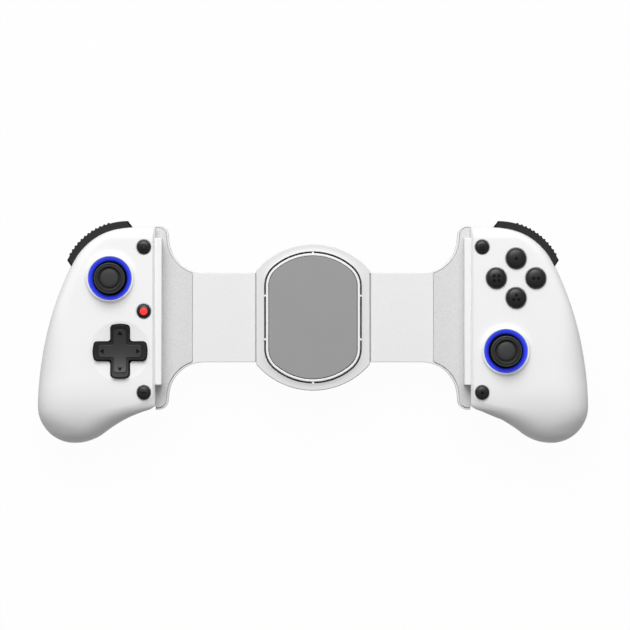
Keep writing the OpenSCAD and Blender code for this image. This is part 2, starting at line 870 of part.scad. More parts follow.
// Outer face of a trigger, seen along its pin: +X outward, +Y towards the front
module trigger_face() {
    polygon(concat(
        [[12, trigger_top]],
        [[trigger_r + 1, trigger_top]],
        arc([trigger_r - 7, trigger_low + 9], 8.5, 0, -64, 6),
        [[12, trigger_low]]
    ));
}

module trigger() {
    color(dark) shoulder_frame() difference() {
        union() {
            intersection() {
                translate([-bumper_half + 0.1, 0, 0]) rotate([90, 0, 90])
                    linear_extrude(2 * bumper_half - 0.2) trigger_face();
                difference() {
                    translate([0, 0, -40]) cylinder(r = trigger_r, h = 60);
                    translate([0, 0, -41]) cylinder(r = trigger_in, h = 62);
                }
            }
            for (s = [-8.6, 6.6]) translate([s, 0, 0]) rotate([90, 0, 90]) linear_extrude(2)
                polygon([
                    [pin_u, pin_z + 1.4], [trigger_in + 0.4, trigger_top - 0.8],
                    [trigger_in + 0.4, trigger_top - 9], [pin_u - 0.4, pin_z - 1.7]
                ]);
            translate([-lug_in + 0.3, pin_u, pin_z]) rotate([0, 90, 0])
                cylinder(r = 1.9, h = 2 * lug_in - 0.6);
        }
        translate([-20, pin_u, pin_z]) rotate([0, 90, 0]) cylinder(r = pin_r + run_gap, h = 40);
    }
}

module trigger_pin() {
    color(metal) shoulder_frame() translate([-lug_in - lug_t, pin_u, pin_z]) rotate([0, 90, 0])
        cylinder(r = pin_r, h = 2 * (lug_in + lug_t));
}

// Stick: housing on the board, gimbal ring, hub, lever and cap
module stick_housing(at) {
    inside = module_half - 1;
    color(metal) difference() {
        translate([at.x - module_half, at.y - module_half, board_top])
            cube([2 * module_half, 2 * module_half, pivot_z + 3.5 - board_top]);
        translate([at.x - inside, at.y - inside, board_top + 1])
            cube([2 * inside, 2 * inside, pivot_z + 2.6 - board_top - 1]);
        translate([at.x, at.y, pivot_z]) cylinder(r = 4.7, h = 10);
        translate([at.x, at.y - 20, pivot_z]) rotate([-90, 0, 0]) cylinder(r = 0.75, h = 40);
    }
}

module stick_gimbal(at) {
    color(grey) translate([at.x, at.y, pivot_z]) difference() {
        union() {
            translate([0, 0, -1]) cylinder(r = gimbal_r, h = 2);
            translate([0, -module_half, 0]) rotate([-90, 0, 0]) cylinder(r = 0.7, h = 2 * module_half);
        }
        translate([0, 0, -2]) cylinder(r = 3.1, h = 4);
        translate([-10, 0, 0]) rotate([0, 90, 0]) cylinder(r = 0.75, h = 20);
    }
}

module stick_hub(at) {
    color(dark) translate([at.x, at.y, pivot_z]) difference() {
        union() {
            translate([0, 0, -1.4]) cylinder(r = 2.4, h = 3.2);
            translate([-4.2, 0, 0]) rotate([0, 90, 0]) cylinder(r = 0.7, h = 8.4);
        }
        translate([0, 0, -5]) cylinder(r = 1.15, h = 10);
    }
}

module stick_lever(at) {
    color(metal) translate([at.x, at.y, pivot_z - 2.4])
        cylinder(r = 1.1, h = face_h + cap_h - 3 - pivot_z + 2.4);
}

module stick_cap(at) {
    top = face_h + cap_h - pivot_z;
    neck_r = 3.4;
    lip = top - 2.6;
    color(dark) translate([at.x, at.y, pivot_z]) rotate_extrude() difference() {
        union() {
            intersection() {
                difference() {
                    circle(r = dome_r);
                    circle(r = dome_r - 1);
                }
                polygon([[0, 0], [0, 20], [20, 20], [20, 20 / tan(65)]]);
            }
            polygon([
                [0, 5.2], [2.3, 5.2], [2.3, dome_r - 0.7], [neck_r, dome_r - 0.7], [neck_r, lip - 1.4],
                [cap_r - 1, lip], [cap_r, lip + 0.7], [cap_r, top - 0.9], [cap_r - 0.9, top],
                [5.9, top], [5.2, top - 0.7], [2.6, top - 1.1], [0, top - 1.2]
            ]);
        }
        translate([0, -1]) square([1.1, top - 2]);
        translate([-50, -50]) square([50, 100]);
    }
}

module light_ring(at) {
    color(blue) translate([at.x, at.y, 0]) rotate_extrude()
        polygon([
            [ring_in_r, face_h - 0.4], [ring_r, face_h + 0.8], [ring_r, roof_z - 0.1],
            [ring_r + 1.3, roof_z - 0.1], [ring_r + 1.3, roof_z - 1.2], [ring_r - 0.5, roof_z - 1.2],
            [ring_r - 0.5, face_h - 1.2], [ring_in_r, face_h - 1]
        ]);
}

module small_button(y) {
    color(dark) translate([small_x, y, 0]) {
        rotate_extrude() polygon([
            [0, key_low], [2.2, key_low], [2.2, roof_z - 2.4], [small_r, roof_z - 1.6],
            [small_r, face_h + 0.5], [small_r - 0.5, face_h + 1], [0, face_h + 1.2]
        ]);
        translate([-1.2, -small_r - 1, roof_z - 2.9]) cube([2.4, 2 * small_r + 2, 1]);
    }
}

module face_button(i) {
    d = face_step[i] * face_spread;
    color(dark) translate([upper.x + d.x, upper.y + d.y, 0]) rotate_extrude()
        polygon([
            [0, key_low], [3.4, key_low], [3.4, roof_z - 1.3], [face_r + 0.6, roof_z - 1.3],
            [face_r + 0.6, roof_z - 0.3], [face_r, roof_z - 0.3], [face_r, face_h + 1.1],
            [face_r - 0.7, face_h + 1.7], [2.4, face_h + 2], [0, face_h + 2.1]
        ]);
}

module dpad_cross() {
    color(dark) translate([lower.x, lower.y, 0]) difference() {
        union() {
            translate([0, 0, dpad_z - 0.4]) linear_extrude(face_h + 1.6 - dpad_z + 0.4) dpad_plan(0);
            translate([0, 0, face_h + 1.5]) linear_extrude(0.5) dpad_plan(-0.7);
            translate([0, 0, dpad_z - 1.2]) cylinder(r = 11.4, h = 1.3);
        }
        translate([0, 0, dpad_z - 2]) cylinder(r = 3.2, h = 3.4);
    }
}

// Two-way rocker under the direction pad: one ridge along X, one along Y
module dpad_rocker() {
    color(grey) translate([lower.x, lower.y, dpad_z]) difference() {
        union() {
            translate([0, 0, -1.2]) cylinder(r = 2.5, h = 2.1);
            translate([-2.2, 0, 0.7]) rotate([0, 90, 0]) cylinder(r = 0.5, h = 4.4);
        }
        translate([0, 4, -1.2]) rotate([90, 0, 0]) cylinder(r = 0.6, h = 8);
    }
}

module dpad_mat() {
    color(silicone) translate([lower.x, lower.y, board_top]) difference() {
        union() {
            cylinder(r = 12.4, h = mat_t);
            for (a = [0 : 90 : 270]) rotate(a) translate([8.6, 0, 0])
                cylinder(r1 = 3, r2 = 2.2, h = dpad_z - 3 - board_top);
            cylinder(r = 2.2, h = dpad_z - 1.4 - board_top);
            translate([0, 0, dpad_z - 1.2 - board_top]) rotate([90, 0, 0])
                cylinder(r = 0.5, h = 4, center = true);
        }
    }
}

module face_mat() {
    color(silicone) translate([upper.x, upper.y, board_top]) {
        for (a = [0, 90]) rotate(a) translate([-face_spread, -2, 0]) cube([2 * face_spread, 4, mat_t]);
        for (d = face_step) translate([d.x * face_spread, d.y * face_spread, 0])
            cylinder(r1 = 2.6, r2 = 2.2, h = key_low - travel - 0.2 - board_top);
    }
}

module circuit_board(key_ys) {
    color(board_green) difference() {
        union() {
            translate([0, 0, board_low]) linear_extrude(board_t) polygon([
                [wall_x + wall + 0.4, -board_down], [wall_x + wall + 0.4, board_up],
                [wall_x + 6, board_up], shoulder_hub + [22, 0],
                [wall_x + board_w, 0], [wall_x + board_w, 10 - board_down],
                [wall_x + 30, -board_down], [wall_x + 18, -board_down - 3], [wall_x + 8, -board_down - 1.5]
            ]);
            for (y = key_ys) translate([small_x - switch_w / 2, y - switch_w / 2, board_low])
                cube([switch_w, switch_w, key_low - travel - 0.2 - board_low]);
        }
        for (p = posts) translate([p.x, p.y, board_low - 1]) cylinder(r = boss_r + 0.15, h = board_t + 2);
    }
}

module left_circuit_board() {
    left() circuit_board([small_top_y, small_mid_y, small_low_y]);
}

module right_circuit_board() {
    right() circuit_board([small_top_y, small_low_y]);
}

module battery() {
    color(grey) left() translate([wall_x + battery_dx, -battery_len / 2, board_low - battery_t])
        cube([battery_w, battery_len, battery_t]);
}

module charging_inlet() {
    color(metal) right() inlet_frame() translate([0, 7.4, 0]) difference() {
        inlet_shape(0, inlet_len);
        rotate([90, 0, 0]) translate([0, 0, 1.2]) linear_extrude(inlet_len) {
            square([5.7, 2.5], center = true);
            for (s = [-1, 1]) translate([s * 2.85, 0]) circle(r = 1.25);
        }
    }
}

bridge_front_cover();
bridge_rear_cover();
pad_tray();
pad_rim();
rest_pad();
centring_gear();
left_return_spring();
right_return_spring();
ribbon_cable();
bridge_screws();
left_front_shell();
left_rear_shell();
left() clamp_pad();  // left_clamp_pad
left() wing_cover();  // left_wing_cover
left() wing_base();  // left_wing_base
left_slider();
left() bumper();  // left_bumper
left() trigger();  // left_trigger
left() trigger_pin();  // left_trigger_pin
left() stick_housing(upper);  // left_stick_housing
left() stick_gimbal(upper);  // left_stick_gimbal
left() stick_hub(upper);  // left_stick_hub
left() stick_lever(upper);  // left_stick_lever
left() stick_cap(upper);  // left_stick_cap
left() light_ring(upper);  // left_light_ring
left_circuit_board();
left() grip_screws();  // left_screws
left() dpad_cross();
left() dpad_rocker();
left() dpad_mat();
left() small_button(small_top_y);  // left_top_button
left() small_button(small_mid_y);  // left_middle_button
left() small_button(small_low_y);  // left_bottom_button
battery();
right_front_shell();
right_rear_shell();
right() clamp_pad();  // right_clamp_pad
right() wing_cover();  // right_wing_cover
right() wing_base();  // right_wing_base
right_slider();
right() bumper();  // right_bumper
right() trigger();  // right_trigger
right() trigger_pin();  // right_trigger_pin
right() stick_housing(lower);  // right_stick_housing
right() stick_gimbal(lower);  // right_stick_gimbal
right() stick_hub(lower);  // right_stick_hub
right() stick_lever(lower);  // right_stick_lever
right() stick_cap(lower);  // right_stick_cap
right() light_ring(lower);  // right_light_ring
right_circuit_board();
right() grip_screws();  // right_screws
right() face_mat();
right() face_button(0);  // face_button_north
right() face_button(1);  // face_button_east
right() face_button(2);  // face_button_south
right() face_button(3);  // face_button_west
right() small_button(small_top_y);  // right_top_button
right() small_button(small_low_y);  // right_bottom_button
charging_inlet();
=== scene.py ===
# %% [markdown]
# # A game controller that stretches round a phone
# Two white hand grips slide apart on a flat bridge, take a phone between their clamp pads and close on it.
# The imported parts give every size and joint. This lesson dresses them: it rebuilds what the eye meets,
# such as the soft shells, the sticks and the keys, and gives each part a finish.

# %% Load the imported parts
import math

import bmesh
import bpy
from mathutils import Matrix, Vector, geometry


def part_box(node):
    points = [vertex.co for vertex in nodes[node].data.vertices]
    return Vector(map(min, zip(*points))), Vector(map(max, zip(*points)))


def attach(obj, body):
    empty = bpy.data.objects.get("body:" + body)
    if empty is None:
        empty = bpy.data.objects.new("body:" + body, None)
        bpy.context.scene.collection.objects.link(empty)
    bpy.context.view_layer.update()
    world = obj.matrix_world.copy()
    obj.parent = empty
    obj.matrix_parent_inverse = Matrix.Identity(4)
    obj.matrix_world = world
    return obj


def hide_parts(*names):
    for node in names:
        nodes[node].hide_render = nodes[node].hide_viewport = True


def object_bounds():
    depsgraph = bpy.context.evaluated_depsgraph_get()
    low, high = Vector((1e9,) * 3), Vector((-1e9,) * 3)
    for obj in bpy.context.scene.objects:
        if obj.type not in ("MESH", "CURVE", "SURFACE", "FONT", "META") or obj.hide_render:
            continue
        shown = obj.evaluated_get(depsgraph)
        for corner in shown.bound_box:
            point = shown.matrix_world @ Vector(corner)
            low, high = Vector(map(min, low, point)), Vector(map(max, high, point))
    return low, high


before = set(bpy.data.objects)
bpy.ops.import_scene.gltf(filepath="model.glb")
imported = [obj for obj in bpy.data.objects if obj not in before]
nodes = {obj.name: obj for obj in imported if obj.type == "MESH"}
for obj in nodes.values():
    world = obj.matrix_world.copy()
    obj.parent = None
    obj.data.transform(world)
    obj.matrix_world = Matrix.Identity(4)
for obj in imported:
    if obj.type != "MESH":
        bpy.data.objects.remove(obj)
cad_box = [list(corner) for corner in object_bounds()]
scene = bpy.context.scene
MM = 0.001

# %% [markdown]
# The picture looks straight at the control faces from far away, so edges that run towards the viewer
# hardly spread. A long lens does that. The scale is the one that the sizes were read with.

# %% Camera
IMAGE_PX = 630
MM_PER_PX = 0.47
REST_PX = (313.0, 317.5)
CAMERA_Z = 2400.0
SCALE_Z = 6.0
SENSOR = 36.0

camera_data = bpy.data.cameras.new("straight_view")
camera_data.sensor_width = SENSOR
camera_data.lens = SENSOR * (CAMERA_Z - SCALE_Z) / (IMAGE_PX * MM_PER_PX)
camera_data.clip_end = 20.0
camera = bpy.data.objects.new("straight_view", camera_data)
camera.location = (
    (IMAGE_PX / 2 - REST_PX[0]) * MM_PER_PX * MM,
    (REST_PX[1] - IMAGE_PX / 2) * MM_PER_PX * MM,
    CAMERA_Z * MM,
)
scene.collection.objects.link(camera)
scene.camera = camera
scene.view_settings.view_transform = "Standard"
print("lens", round(camera_data.lens, 1), "mm")

# %% [markdown]
# ## Finishes
# Moulded plastic is never one flat colour: it has a fine grain, and handling leaves some patches a little
# smoother than others. Both effects are node groups, so that each material can take them with its own values.

# %% Shared effects
PATCHES_PER_METRE = 60.0
PIT_SHARE = 0.6


def effect(name, inputs, outputs):
    """An empty node group with named sockets; returns it with its two end nodes."""
    group = bpy.data.node_groups.new(name, "ShaderNodeTree")
    for label, start in inputs:
        socket = group.interface.new_socket(name=label, in_out="INPUT", socket_type="NodeSocketFloat")
        socket.default_value = start
    for label in outputs:
        group.interface.new_socket(name=label, in_out="OUTPUT", socket_type="NodeSocketFloat")
    return group, group.nodes.new("NodeGroupInput"), group.nodes.new("NodeGroupOutput")


def math_node(tree, operation, *operands):
    """A Math node; each operand is a number or a socket."""
    node = tree.nodes.new("ShaderNodeMath")
    node.operation = operation
    for socket, value in zip(node.inputs, operands):
        if isinstance(value, (int, float)):
            socket.default_value = value
        else:
            tree.links.new(value, socket)
    return node.outputs[0]


def noise(tree, coordinates, scale, detail, roughness):
    """A Noise Texture on the given coordinates, with its scale from a socket."""
    node = tree.nodes.new("ShaderNodeTexNoise")
    node.inputs["Detail"].default_value = detail
    node.inputs["Roughness"].default_value = roughness
    tree.links.new(scale, node.inputs["Scale"])
    tree.links.new(coordinates, node.inputs["Vector"])
    return node.outputs[0]


moulded_grain, grain_in, grain_out = effect(
    "moulded_grain", [("Grains per metre", 2000.0)], ["Height", "Speck"]
)
place_on_piece = moulded_grain.nodes.new("ShaderNodeTexCoord").outputs["Object"]
pits = moulded_grain.nodes.new("ShaderNodeTexVoronoi")
moulded_grain.links.new(place_on_piece, pits.inputs["Vector"])
moulded_grain.links.new(grain_in.outputs[0], pits.inputs["Scale"])
fine = noise(moulded_grain, place_on_piece, grain_in.outputs[0], 2.0, 0.6)
height = math_node(moulded_grain, "MULTIPLY_ADD", pits.outputs["Distance"], PIT_SHARE, fine)
moulded_grain.links.new(height, grain_out.inputs["Height"])
moulded_grain.links.new(fine, grain_out.inputs["Speck"])

handling, handling_in, handling_out = effect(
    "handling", [("Patches per metre", PATCHES_PER_METRE)], ["Patch"]
)
place_on_piece = handling.nodes.new("ShaderNodeTexCoord").outputs["Object"]
patch = noise(handling, place_on_piece, handling_in.outputs[0], 4.0, 0.55)
handling.links.new(patch, handling_out.inputs["Patch"])
print("effects:", moulded_grain.name, handling.name)

# %% [markdown]
# One recipe serves every finish. The grain lifts a bump and speckles the colour, and the handling patches
# move the gloss. What is the same all over, such as the strength of a glow, is set on the shader itself.

# %% Finish recipe
GLOSS_SPREAD = 0.12


def use(tree, group, value):
    """Places an effect in a material's tree with its own value."""
    node = tree.nodes.new("ShaderNodeGroup")
    node.node_tree = group
    node.inputs[0].default_value = value
    return node


def spread(tree, socket, low, high, start=0.3, end=0.7):
    """Maps a value between start and end to the range low to high."""
    node = tree.nodes.new("ShaderNodeMapRange")
    node.inputs["From Min"].default_value = start
    node.inputs["From Max"].default_value = end
    node.inputs["To Min"].default_value = low
    node.inputs["To Max"].default_value = high
    tree.links.new(socket, node.inputs["Value"])
    return node.outputs["Result"]


def blended(tree, factor, first, second):
    """Blends two colours by a socket's value."""
    node = tree.nodes.new("ShaderNodeMix")
    node.data_type = "RGBA"
    node.inputs["A"].default_value = (*first, 1.0)
    node.inputs["B"].default_value = (*second, 1.0)
    tree.links.new(factor, node.inputs["Factor"])
    return node.outputs["Result"]


def finish(name, colour, rough, grains, depth, speck=0.02, **shader_values):
    """A procedural material: colour with specks, gloss with patches, and a grain bump depth in mm."""
    material = bpy.data.materials.new(name)
    material.use_nodes = True
    material.diffuse_color = (*colour, 1.0)
    tree = material.node_tree
    shader = tree.nodes["Principled BSDF"]
    grain = use(tree, moulded_grain, grains)
    worn = use(tree, handling, PATCHES_PER_METRE)
    dark, pale = [c * (1 - speck) for c in colour], [min(1.0, c * (1 + speck)) for c in colour]
    tint = blended(tree, spread(tree, grain.outputs["Speck"], 0.0, 1.0), dark, pale)
    tree.links.new(tint, shader.inputs["Base Color"])
    gloss = spread(tree, worn.outputs["Patch"], rough * (1 - GLOSS_SPREAD), rough * (1 + GLOSS_SPREAD))
    tree.links.new(gloss, shader.inputs["Roughness"])
    bump = tree.nodes.new("ShaderNodeBump")
    bump.inputs["Strength"].default_value = 1.0
    bump.inputs["Distance"].default_value = depth * MM
    tree.links.new(grain.outputs["Height"], bump.inputs["Height"])
    tree.links.new(bump.outputs["Normal"], shader.inputs["Normal"])
    for label, value in shader_values.items():
        shader.inputs[label.replace("_", " ")].default_value = value
    return material


shell_white = finish("shell_white", (0.88, 0.88, 0.88), 0.45, 1800.0, 0.004, 0.004, Specular_IOR_Level=0.35)
wing_white = finish("wing_white", (0.67, 0.67, 0.67), 0.62, 1500.0, 0.035, 0.07)
strip_white = finish("strip_white", (0.80, 0.80, 0.80), 0.55, 1500.0, 0.02, 0.03)
cover_white = finish("cover_white", (0.745, 0.745, 0.745), 0.46, 1700.0, 0.01, 0.012)
clamp_white = finish("clamp_white", (0.87, 0.87, 0.87), 0.55, 2400.0, 0.008, 0.008)
rest_grey = finish("rest_grey", (0.305, 0.305, 0.31), 0.68, 2600.0, 0.008, 0.012)
gap_shade_grey = finish("gap_shade_grey", (0.36, 0.36, 0.36), 0.8, 3000.0, 0.02, 0.1)
groove_black = finish("groove_black", (0.012, 0.012, 0.013), 0.6, 2000.0, 0.01)
key_black = finish("key_black", (0.011, 0.011, 0.012), 0.34, 2400.0, 0.001, Specular_IOR_Level=0.36)
cross_black = finish("cross_black", (0.024, 0.024, 0.025), 0.38, 2600.0, 0.006)
cross_rim_painted_shade = finish("cross_rim_painted_shade", (0.010, 0.010, 0.011), 0.45, 2600.0, 0.006, Specular_IOR_Level=0.3)
shoulder_black = finish("shoulder_black", (0.016, 0.016, 0.017), 0.6, 2600.0, 0.01, Specular_IOR_Level=0.25)
stick_rubber = finish("stick_rubber", (0.023, 0.023, 0.024), 0.62, 3000.0, 0.02, 0.1)
mark_black = finish("mark_black", (0.003, 0.003, 0.003), 0.6, 2600.0, 0.002, Specular_IOR_Level=0.1)
steel = finish("steel", (0.56, 0.57, 0.59), 0.3, 1500.0, 0.003, 0.05, Metallic=1.0)
gear_grey = finish("gear_grey", (0.32, 0.32, 0.33), 0.5, 2000.0, 0.006)
board_green = finish("board_green", (0.010, 0.085, 0.040), 0.42, 900.0, 0.01, 0.1)
mat_silicone = finish("mat_silicone", (0.55, 0.55, 0.53), 0.6, 2200.0, 0.008)
ribbon_brown = finish("ribbon_brown", (0.20, 0.085, 0.02), 0.35, 2000.0, 0.003)
cell_foil = finish("cell_foil", (0.50, 0.51, 0.53), 0.38, 1200.0, 0.02, 0.05, Metallic=0.6)
print(len(bpy.data.materials), "finishes")

# %% [markdown]
# The rings round the sticks and the dot on one key are lit from inside. Their plastic is clear and coloured,
# so the colour is in the base as well, and the glow is only strong enough to show it. Low on the ring's slope,
# next to the stick, the glow is painted darker: this is painted shade where the stick shades the ring.

# %% Lit plastics
RING_LOW, RING_TOP = 9.9 * MM, 11.25 * MM
RING_PAINTED_SHADE, RING_BRIGHT = (0.0, 0.0, 0.06), (0.055, 0.085, 1.0)

dot_red = finish(
    "dot_red", (0.75, 0.02, 0.02), 0.35, 1800.0, 0.002, 0.03,
    Emission_Color=(1.0, 0.03, 0.025, 1.0), Emission_Strength=0.5,
)
ring_blue = finish("ring_blue", (0.02, 0.035, 0.55), 0.3, 1800.0, 0.002, 0.03, Emission_Strength=0.6)
tree = ring_blue.node_tree
level = tree.nodes.new("ShaderNodeSeparateXYZ")
tree.links.new(tree.nodes.new("ShaderNodeTexCoord").outputs["Object"], level.inputs[0])
up_the_slope = spread(tree, level.outputs["Z"], 0.0, 1.0, RING_LOW, RING_TOP)
# Painted shade: the glow runs from a dark colour low on the slope to the bright one at the ring's top.
painted_shade_fade = blended(tree, up_the_slope, RING_PAINTED_SHADE, RING_BRIGHT)
tree.links.new(painted_shade_fade, tree.nodes["Principled BSDF"].inputs["Emission Color"])
print("lit:", ring_blue.name, dot_red.name)

# %% [markdown]
# ## Tools for every piece
# Each piece is drawn in millimetres for the right grip, then mirrored if it is the left one, scaled to metres
# and set on its body. Edges sharper than a limit stay crisp; the rest shade smoothly.

# %% Set a piece in the scene
CRISP = math.radians(32)
BROAD = 120 * MM * MM
SIDES = {"left": -1, "right": 1}


def shade(bm):
    """Smooth shading, except on broad flat faces, whose shade would run across from their rounded rims."""
    for face in bm.faces:
        face.smooth = face.calc_area() < BROAD
    for edge in bm.edges:
        edge.smooth = edge.smooth and len(edge.link_faces) == 2 and edge.calc_face_angle(0.0) < CRISP


def as_object(bm, name):
    mesh = bpy.data.meshes.new(name)
    bm.to_mesh(mesh)
    bm.free()
    made = bpy.data.objects.new(name, mesh)
    scene.collection.objects.link(made)
    return made


def set_piece(bm, name, material, body, stands_for=(), side=1):
    """Mirrors, scales and shades a bmesh, makes it a piece and sets it on its body."""
    if side < 0:
        bmesh.ops.scale(bm, vec=(-1, 1, 1), verts=bm.verts)
        bmesh.ops.reverse_faces(bm, faces=bm.faces)
    bmesh.ops.scale(bm, vec=(MM, MM, MM), verts=bm.verts)
    shade(bm)
    piece = as_object(bm, name)
    piece.data.materials.append(material)
    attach(piece, body)
    if stands_for:
        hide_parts(*stands_for)
    return piece


print("edges stay crisp above", round(math.degrees(CRISP)), "degrees")

# %% [markdown]
# Round pieces are turned on a lathe: half of the outline goes in as a chain of points, and spin sweeps it
# round the axis. Stacked cylinders would also do, but one outline carries every groove and round at once.

# %% Lathe
LATHE_STEPS = 72
SAME_POINT = 0.0005


def turned(outline, centre=(0.0, 0.0), steps=LATHE_STEPS):
    """A closed solid of revolution from (radius, height) points."""
    bm = bmesh.new()
    chain = [bm.verts.new((r, 0.0, z)) for r, z in outline]
    for a, b in zip(chain, chain[1:]):
        bm.edges.new((a, b))
    if outline[0][0] > 0 and outline[-1][0] > 0:
        bm.edges.new((chain[-1], chain[0]))
    bmesh.ops.spin(
        bm, geom=bm.verts[:] + bm.edges[:], cent=(0, 0, 0), axis=(0, 0, 1),
        angle=2 * math.pi, steps=steps, use_merge=True,
    )
    bmesh.ops.remove_doubles(bm, verts=bm.verts, dist=SAME_POINT)
    bmesh.ops.recalc_face_normals(bm, faces=bm.faces)
    bmesh.ops.translate(bm, vec=(*centre, 0.0), verts=bm.verts)
    return bm


print("lathe steps:", LATHE_STEPS)

# %% [markdown]
# Flat pieces start as an outline and are pulled up to their thickness. Bevel then rounds the edges that a
# hand would feel, so each of them catches a thin line of light as a moulded edge does.

# %% Plate and block
SQUARE = math.radians(40)


def rounded(bm, edges, width, segments=3):
    bmesh.ops.bevel(
        bm, geom=edges, offset=width, offset_type="OFFSET", segments=segments, profile=0.5,
        affect="EDGES", material=-1, clamp_overlap=True,
    )


def rim_edges(bm, z):
    """Outer edges of the flat faces at height z."""
    return [
        e for e in bm.edges
        if all(abs(v.co.z - z) < 1e-4 for v in e.verts) and e.calc_face_angle(0.0) > CRISP
    ]


def pulled_up(bm, rise):
    """Gives flat faces a thickness, with normals that point outwards, and returns the upper points."""
    pulled = bmesh.ops.extrude_face_region(bm, geom=bm.faces[:])["geom"]
    upper = [v for v in pulled if isinstance(v, bmesh.types.BMVert)]
    bmesh.ops.translate(bm, vec=(0, 0, rise), verts=upper)
    bmesh.ops.recalc_face_normals(bm, faces=bm.faces)
    return upper


def plate(outline, low, high, top_round=0.0):
    """An outline pulled up from low to high; its upper rim may be rounded."""
    bm = bmesh.new()
    bm.faces.new([bm.verts.new((x, y, low)) for x, y in outline])
    pulled_up(bm, high - low)
    if top_round > 0:
        rounded(bm, rim_edges(bm, high), top_round)
    return bm


def block(low, high, edge=0.0):
    """A box between two corners; all its edges may be rounded."""
    bm = bmesh.new()
    bmesh.ops.create_cube(bm, size=1.0)
    bmesh.ops.scale(bm, vec=[b - a for a, b in zip(low, high)], verts=bm.verts)
    bmesh.ops.translate(bm, vec=[(a + b) / 2 for a, b in zip(low, high)], verts=bm.verts)
    if edge > 0:
        rounded(bm, bm.edges[:], edge)
    return bm


def joined(first, *others):
    """Adds other bmeshes to the first one, each as its own island."""
    for other in others:
        mesh = bpy.data.meshes.new("island")
        other.to_mesh(mesh)
        other.free()
        first.from_mesh(mesh)
        bpy.data.meshes.remove(mesh)
    return first


def moved(bm, matrix):
    bmesh.ops.transform(bm, matrix=matrix, verts=bm.verts)
    return bm


def arc(centre, radius, start, end, steps):
    """Points on an arc, angles in degrees."""
    angles = [math.radians(start + (end - start) * i / steps) for i in range(steps + 1)]
    return [(centre[0] + radius * math.cos(a), centre[1] + radius * math.sin(a)) for a in angles]


print("corners count as square above", round(math.degrees(SQUARE)), "degrees")

# %% [markdown]
# Openings are cut with cutter shapes. Blender's Boolean modifier does the cutting, and its result is kept as
# the mesh, so that neither the modifier nor the cutters stay in the scene.

# %% Cutting
def cut(bm, *cutters):
    """The bmesh with each cutter taken away, one after another."""
    body = as_object(bm, "body_in_work")
    tools = [as_object(cutter, "cutter") for cutter in cutters]
    for tool in tools:
        modifier = body.modifiers.new("cut", "BOOLEAN")
        modifier.operation = "DIFFERENCE"
        modifier.solver = "EXACT"
        modifier.object = tool
    graph = bpy.context.evaluated_depsgraph_get()
    mesh = bpy.data.meshes.new_from_object(body.evaluated_get(graph))
    result = bmesh.new()
    result.from_mesh(mesh)
    for old in (body, *tools):
        old_mesh = old.data
        bpy.data.objects.remove(old)
        bpy.data.meshes.remove(old_mesh)
    bpy.data.meshes.remove(mesh)
    bmesh.ops.remove_doubles(result, verts=result.verts, dist=SAME_POINT)
    return result


print("points merge within", SAME_POINT, "mm")

# %% [markdown]
# ## Grip shells
# Each grip is two moulded shells. Seen from the front its outline is a chain of arcs: a shoulder, a long
# flank, a handle tip, a rounder heel and a hollow neck. Each arc runs into the next without a kink, so the
# centres of the flank and the neck follow from those of their neighbours.

# %% Grip outline
WALL_X = 74.2
WALL_HALF = 42.6
SHOULDER, SHOULDER_R = Vector((85.5, 11.7)), 30.9
TIP, TIP_R = Vector((112.6, -42.1)), 17.2
CORNER = Vector((WALL_X, -WALL_HALF))
FLANK_R, NECK_R, HEEL_R = 160.0, 62.0, 23.2


def circle_between(a, ra, b, rb, side):
    """Centre of the circle that lies ra from a and rb from b."""
    gap = b - a
    reach = (ra * ra - rb * rb + gap.length_squared) / (2 * gap.length)
    off = math.sqrt(ra * ra - reach * reach)
    across = Vector((-gap.y, gap.x)).normalized()
    return a + gap.normalized() * reach + across * off * side


FLANK = circle_between(SHOULDER, FLANK_R - SHOULDER_R, TIP, FLANK_R - TIP_R, -1)
HEEL = TIP + Vector((0, HEEL_R - TIP_R))
NECK = circle_between(HEEL, NECK_R + HEEL_R, CORNER, NECK_R, 1)


def half_chord(radius, distance):
    return math.sqrt(max(0.0, radius * radius - distance * distance))


def meeting_y(centre, radius, other):
    """Height of the point where an arc runs into the arc round other."""
    return (centre + (centre - other).normalized() * radius).y


def outer_x(y, e):
    if y > meeting_y(SHOULDER, SHOULDER_R - e, FLANK):
        return SHOULDER.x + half_chord(SHOULDER_R - e, y - SHOULDER.y)
    if y > meeting_y(TIP, TIP_R - e, FLANK):
        return FLANK.x + half_chord(FLANK_R - e, y - FLANK.y)
    return TIP.x + half_chord(TIP_R - e, y - TIP.y)


def inner_x(y, e):
    if y > meeting_y(HEEL, e - HEEL_R, NECK):
        return max(WALL_X + e, NECK.x + half_chord(NECK_R + e, y - NECK.y))
    return HEEL.x - half_chord(HEEL_R - e, y - HEEL.y)


print("flank centre", [round(v, 1) for v in FLANK], "neck centre", [round(v, 1) for v in NECK])

# %% [markdown]
# Across the grip, the face is flat with a soft outer edge and a crisp inner one, and the back swells into a
# palm. Towards the tip, face and back roll into each other. A sculpted ball could be pushed into this form,
# but cross-sections that follow from a few sizes keep both grips alike and the parting line clean.

# %% How sizes change along the grip
FACE_Z, SPLIT_Z, SHELL_WALL = 10.5, -1.6, 1.8
BACK_DEPTH, PALM_DEPTH, PALM_Y = 17.0, 26.0, 30.0
ROLL_Y, TIP_DEPTH, TOP_ROUND = 29.0, 9.5, 6.0
HANDLE_Y, HANDLE_RUN = 8.0, 40.0


def limit(v):
    return min(1.0, max(0.0, v))


def ease(t):
    """Soft step from 0 to 1."""
    t = limit(t)
    return t * t * (3 - 2 * t)


def along(y, start, run):
    """Soft step down the grip: 0 above start, 1 from a run below it."""
    return ease((start - y) / run)


def quarter(t, power=2.0):
    """Drop of a quarter circle, 0 at its top and 1 at its end; a higher power stays flat for longer."""
    return 1 - max(0.0, 1 - t ** power) ** (1 / power)


def roll(y, start, e):
    """Share of the way from start to the end of the tip, drawn in by e."""
    return limit((-start - y) / (-start - (TIP.y - TIP_R + e)))


